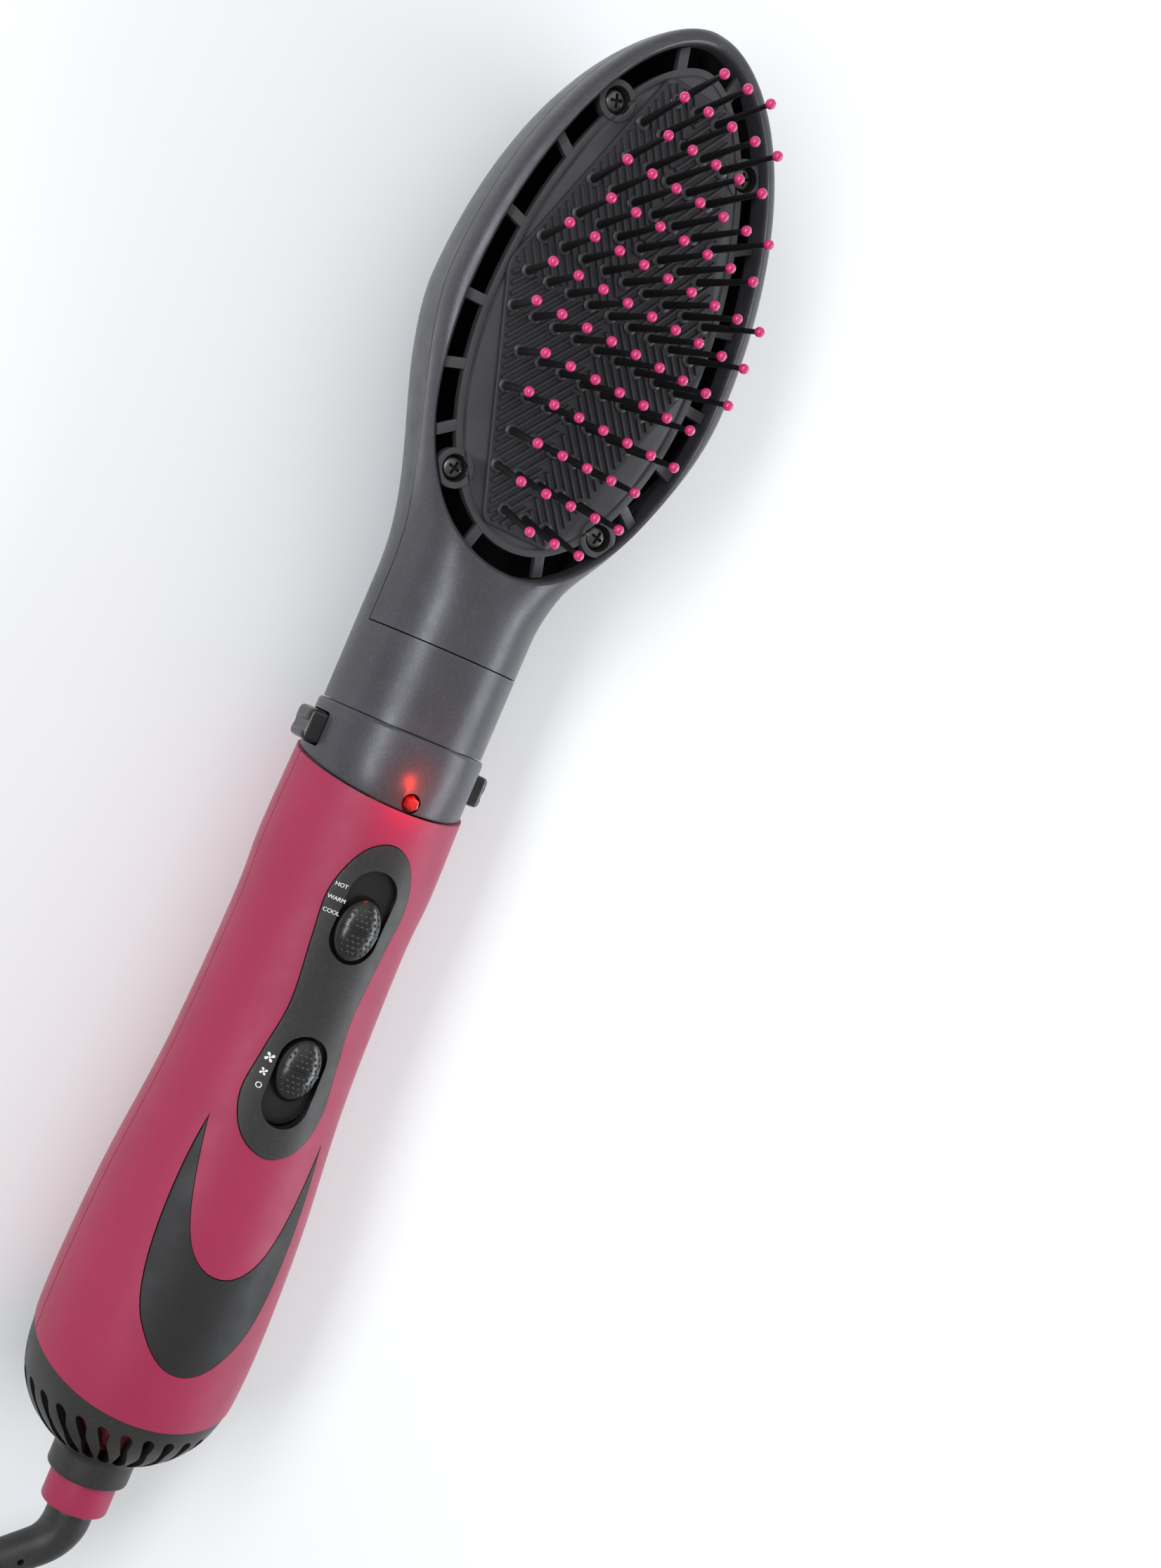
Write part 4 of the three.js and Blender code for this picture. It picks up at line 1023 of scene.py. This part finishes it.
def add_slider(switch, name, body, node):
    """An oval dome with rows of raised dots, split by a raised bar across its middle."""
    x0, x1 = switch["button"]
    centre, half = (x0 + x1) / 2, (x1 - x0) / 2
    levels = [(TRAY_Z + 0.15, 1), (19.5, 1)]
    for a in (pi / 2 * k / 16 for k in range(1, 16)):
        levels.append((DOME_Z + DOME_HEIGHT * sin(a), cos(a)))
    rings = [[(centre + half * f * cos(a), DOME_HALF * f * sin(a), z) for a in angles(64)]
             for z, f in levels]
    parts = [loft(rings, GLOSS)]
    dot = [(-0.3, AXIS_R), (-0.3, DOT_R), (0.08, DOT_R), (0.22, DOT_R * 0.6), (0.26, AXIS_R)]
    for i in range(-6, 7):
        for j in range(-4, 5):
            dx, dy = i * DOT_PITCH, (j + 0.5 * (i % 2)) * DOT_PITCH
            u, v = dx / half, dy / DOME_HALF
            if u * u + v * v > 0.66 or abs(dx) < 1.2:
                continue
            top = DOME_Z + dome_height(u, v)
            parts.append(lifted(dot, 10, u * 0.35, v * 0.55, centre + dx, dy, top, GLOSS))
    bar, section = [], ((-0.45, -0.4), (0.45, -0.4), (0.28, 0.34), (-0.28, 0.34))
    for dy in spread(-DOME_HALF * 0.86, DOME_HALF * 0.86, 25):
        top = DOME_Z + dome_height(0, dy / DOME_HALF)
        bar.append([(centre + a, dy, top + b) for a, b in section])
    parts.append(loft(bar, GLOSS))
    piece(joined(parts), name, body, [node], 40)


def projected(obj, x, y, size, thick=0.14):
    """Lays a flat shape on the switch plate, reading across the grip."""
    for v in obj.data.vertices:
        px, py = x + v.co.y * size, y - v.co.x * size
        r = grip_r(px) + PANEL_PROUD + (thick if v.co.z > 0 else -0.05)
        v.co = (px, py, sqrt(max(1.0, r * r - py * py)))
    return obj


def text_shape(words):
    curve = bpy.data.curves.new("words", "FONT")
    curve.body, curve.align_x, curve.align_y, curve.extrude = words, "CENTER", "CENTER", 0.5
    obj = linked("words", curve)
    bpy.context.view_layer.update()
    mesh = bpy.data.meshes.new_from_object(obj.evaluated_get(bpy.context.evaluated_depsgraph_get()))
    bpy.data.objects.remove(obj)
    repaint(mesh, LEGEND)
    return outward(linked("work", mesh))


def fan_shape():
    """Four leaning blades round a hub."""
    blades = []
    leaf = rounded([(0.06, -0.05), (0.3, -0.17), (0.5, -0.12), (0.5, 0.1), (0.26, 0.12)], 0.08, 3)
    for a in angles(4, 0.6):
        c, s = cos(a), sin(a)
        blades.append(prism([(c * u - s * v, s * u + c * v) for u, v in leaf], -0.5, 0.5, LEGEND))
    blades.append(prism(disc(0, 0, 0.09, 12), -0.5, 0.5, LEGEND))
    return joined(blades)


def add_legends():
    heat = [projected(text_shape(words), x, y, 1.3) for words, x, y in
            (("HOT", -37.0, 7.65), ("WARM", -40.2, 7.45), ("COOL", -43.3, 7.4))]
    piece(joined(heat), "heat_legend", "handle")
    speed = [projected(fan_shape(), -78.2, 7.5, 2.3), projected(fan_shape(), -81.6, 7.6, 1.8),
             projected(text_shape("O"), -84.8, 7.55, 1.9)]
    piece(joined(speed), "speed_legend", "handle")


add_grip()
add_panel()
add_slider(HEAT, "heat_thumb_slide", "heat_button", "heat_slider")
add_slider(SPEED, "speed_thumb_slide", "speed_button", "speed_slider")
add_legends()


# ---- the collar ----
def button_outline(grow):
    x0, x1, h = BUTTON_X[0] - grow, BUTTON_X[1] + grow, BUTTON_HALF + grow
    return [(x0, -h), (x1, -h), (x1, h), (x0, h)]


def add_collar():
    """A plain ring whose lower edge slants with the grip's seam, with a window for each release button."""
    n, rim, bore = 160, COLLAR_R, 18.6
    outline = [(0.0, bore), (0.0, rim - 0.5), (0.02, rim - 0.2), (0.06, rim), (0.5, rim), (0.97, rim),
               (1.0, rim - 0.25), (1.0, bore)]
    verts = []
    for t, r in outline:
        for a in angles(n):
            low = COLLAR_SEAM - COLLAR_SLOPE * r * cos(a)
            verts.append((mix(-GAP, low, t), r * sin(a), r * cos(a)))
    ring = outward(solid(verts, grid_faces(len(outline), n, wrap_rows=True), HEAD))
    window = rounded(button_outline(BUTTON_SLACK), 1.0)
    # the button windows' walls and the lamp hole's wall take near-black painted shade
    tool = moved(prism(window, -40, 40, PAINTED_SHADE), turned(90, "X"))
    ring = cut(ring, tool, prism(disc(LAMP_X, 0, LAMP_HOLE_R, 32), 12, 40, PAINTED_SHADE))
    piece(ring, "collar_band", "handle", ["collar_ring"])


def add_button(side, name, node):
    """A glossy block with softened corners and a finger groove across it."""
    levels = [(16.9, 0)] + [(BUTTON_TOP - drop, -trim) for drop, trim in
                            ((1.5, 0), (0.8, 0.12), (0.3, 0.45), (0.05, 1.0), (0, 1.6))]
    body = loft([[(x, y, z) for x, y in rounded(button_outline(grow), 1.1, 6)] for z, grow in levels], GLOSS)
    groove = lathe([(-9, AXIS_R), (-9, 3), (9, 3), (9, AXIS_R)], 48, GLOSS)
    at = Matrix.Translation((sum(BUTTON_X) / 2 - 0.6, 0, BUTTON_TOP + 2.45))
    body = cut(body, moved(groove, at @ turned(90, "Z")))
    moved(body, turned(-90 * side, "X"))
    piece(body, name, f"release_{'left' if side > 0 else 'right'}", [node], 40)


def add_lamp():
    """A six-sided faceted lens."""
    rings = []
    for z, r, turn in ((15.4, 1.95, 0), (20.6, 1.95, 0), (21.5, 1.55, 0.26), (22.0, 0.95, 0)):
        rings.append([(LAMP_X + r * cos(a), r * sin(a), z) for a in angles(6, turn)])
    piece(loft(rings, LENS), "lamp_lens", "handle", ["indicator_lens"], angle=12)


add_collar()
add_button(1, "release_left_cap", "release_button_left")
add_button(-1, "release_right_cap", "release_button_right")
add_lamp()

# ---- the inlet cap and the swivel ----
CAP_SLOTS, SLOT_X, SLOT_LONG, SLOT_WIDE, SLOT_LEAN, SLOT_SHIFT = 26, -171.9, 13.6, 2.95, 0.018, 2.6
CAP_DOME = [(-150, 25.3), (-156, 25.1), (-163, 24.3), (-169, 22.4), (-174, 19), (-177.6, 15), (-180.5, 10.35)]
CAP_INSIDE = [(NECK_END_X, 6.8), (-178.7, 6.8), (-178, 9), (-175.4, 14), (-172, 17.6), (-167.4, 20.6),
              (-161.6, 22.4), (-150, 23)]


def cap_slot(turn, dome):
    """A round-ended slot wrapped on the dome, leaning round it as it runs down."""
    ends = []
    top = SLOT_LONG / 2 - SLOT_SHIFT * (1 + cos(turn)) / 2
    outline = stadium(-SLOT_LONG / 2, top, SLOT_WIDE / 2, 9)
    for radius in (5.0, 30.0):
        for u, v in outline:
            x = SLOT_X + u
            spans = ((a, b) for a, b in zip(dome, dome[1:]) if b.x <= x <= a.x)
            r = next((mix(a.y, b.y, (a.x - x) / (a.x - b.x)) for a, b in spans), 11)
            a = turn + v / max(r, 12.5) + SLOT_LEAN * u
            ends.append((x, radius * sin(a), radius * cos(a)))
    n = len(outline)
    centres = [sum((Vector(p) for p in ends[k:k + n]), Vector()) / n for k in (0, n)]
    faces = grid_faces(2, n)
    for k, c in ((0, 2 * n), (n, 2 * n + 1)):
        faces += [(c, k + j, k + (j + 1) % n) for j in range(n)]
    # the slots' walls, cut with this tool, take near-black painted shade
    return outward(solid(ends + centres, faces, PAINTED_SHADE))


def add_cap():
    dome = spline(CAP_DOME, 8)
    neck = [tuple(CAP_DOME[-1]), (-181.5, CAP_NECK_R), (NECK_END_X, CAP_NECK_R), CAP_INSIDE[0]]
    outline = [tuple(p) for p in dome] + rounded(neck, 0.8, 5, False)[1:-1] + CAP_INSIDE
    cap = lathe(outline, 144, TRIM)
    tilt = Matrix.Translation((BASE_SEAM - GAP / 2, 0, 0)) @ Matrix.Rotation(-atan(BASE_SLOPE), 4, "Y")
    cap = cut(cap, moved(block((0, -60, -80), (60, 60, 80), TRIM), tilt),
              block((BASE_BACK_X - GAP / 2, -61, -81), (61, 61, 81), TRIM))
    cap = cut(cap, joined([cap_slot(a, dome) for a in angles(CAP_SLOTS, pi / CAP_SLOTS)]))
    piece(cap, "inlet_end_cap", "handle", ["inlet_cap"])
    cloth = [(-162, 21.4), (-167.2, 19.7), (-171.6, 16.6), (-174.8, 13), (-176.4, 10.4), (-175.6, 10.4),
             (-174, 12.8), (-170.8, 16.1), (-166.6, 19), (-162, 20.5)]
    piece(lathe(rounded(cloth, 1.2, 3), 96, MESH), "inlet_mesh", "handle", ["inlet_filter"])


def add_swivel():
    top, bore, stem, flange = NECK_END_X - GAP, 4.6, 6.4, 8.2
    outline = [(SWIVEL_END_X, bore), (SWIVEL_END_X, SWIVEL_R), (top, SWIVEL_R), (top, stem), (-177.7, stem),
               (-177.7, flange), (-176.3, flange), (-176.3, bore)]
    piece(lathe(rounded(outline, 0.7, 4), 96, PINK), "swivel_collar", "swivel", ["swivel_ring"])


add_cap()
add_swivel()

# ---- what stays of the CAD: the inner works ----
INNER_LOOKS = [
    (MICA, ("heater_board_level", "heater_board_upright", "heater_tube")),
    (BOARD, ("rectifier_board",)),
    (BRIGHT, ("heater_coil", "thermostat", "thermal_fuse", "motor_can", "motor_shaft")),
    (LENS, ("indicator_lamp",)),
    (TRIM, ("outlet_guard", "fan_shroud", "cord_clamp")),
    (GLOSS, ("fan_rotor", "heat_switch_body", "speed_switch_body")),
]
for look, nodes in INNER_LOOKS:
    for node in nodes:
        repaint(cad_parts[node].data, look)


def add_springs():
    """The latch springs, copied from the CAD in bright steel and tied to the handle."""
    for name, side in (("left", 1), ("right", -1)):
        node = f"latch_spring_{name}"
        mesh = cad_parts[node].data.copy()
        repaint(mesh, BRIGHT)
        spring = piece(linked("work", mesh), f"{node}_wire", "handle", [node], in_row=True)
        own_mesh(spring)


add_springs()

# ---- floor and light ----
FLOOR_HALF, FLOOR_STEPS = 3.0, 24


def add_floor():
    places = spread(-FLOOR_HALF, FLOOR_HALF, FLOOR_STEPS)
    faces = grid_faces(FLOOR_STEPS, FLOOR_STEPS, wrap_cols=False)
    paper = surface("floor paper", (0.93, 0.93, 0.93, 1), 0.9, vary=0.004, patch=2, bump=0.02)
    floor = solid([(x, y, 0) for x in places for y in places], faces, paper)
    floor.name = "floor"


def add_light(name, direction, distance, size, power, colour=(1, 1, 1), aim=(20, 0, 0)):
    light = bpy.data.lights.new(name, "AREA")
    light.shape, light.energy, light.color = "RECTANGLE", power, colour
    light.size, light.size_y = size
    back = Vector(direction).normalized()
    up = back.cross(Vector((1, 0, 0))).normalized()
    turn = Matrix((up.cross(back), up, back)).transposed().to_4x4()
    linked(name, light).matrix_world = Matrix.Translation(to_row(*aim) + back * distance) @ turn


def add_world(strength):
    world = bpy.data.worlds.new("studio")
    world.use_nodes = True
    background = world.node_tree.nodes["Background"]
    background.inputs["Color"].default_value = (1, 1, 1, 1)
    background.inputs["Strength"].default_value = strength
    bpy.context.scene.world = world


def add_lamp_glow():
    light = bpy.data.lights.new("lamp glow", "POINT")
    light.energy, light.color, light.shadow_soft_size = 0.006, (1, 0.04, 0.02), 0.002
    linked("lamp glow", light).location = to_row(LAMP_X + 3.5, 1.0, 26.4)


add_floor()
add_world(0.45)
add_light("key", (0.05, 0.68, 0.73), 0.7, (0.7, 0.13), 3.0, (0.9, 0.95, 1))
add_light("rim", (0, -0.93, 0.42), 0.55, (0.7, 0.12), 2.2, (0.88, 0.94, 1))
add_light("top", (0.6, 0.1, 0.8), 1.2, (1.2, 1.2), 2.6)
add_lamp_glow()
bpy.context.scene.view_settings.view_transform = "Standard"
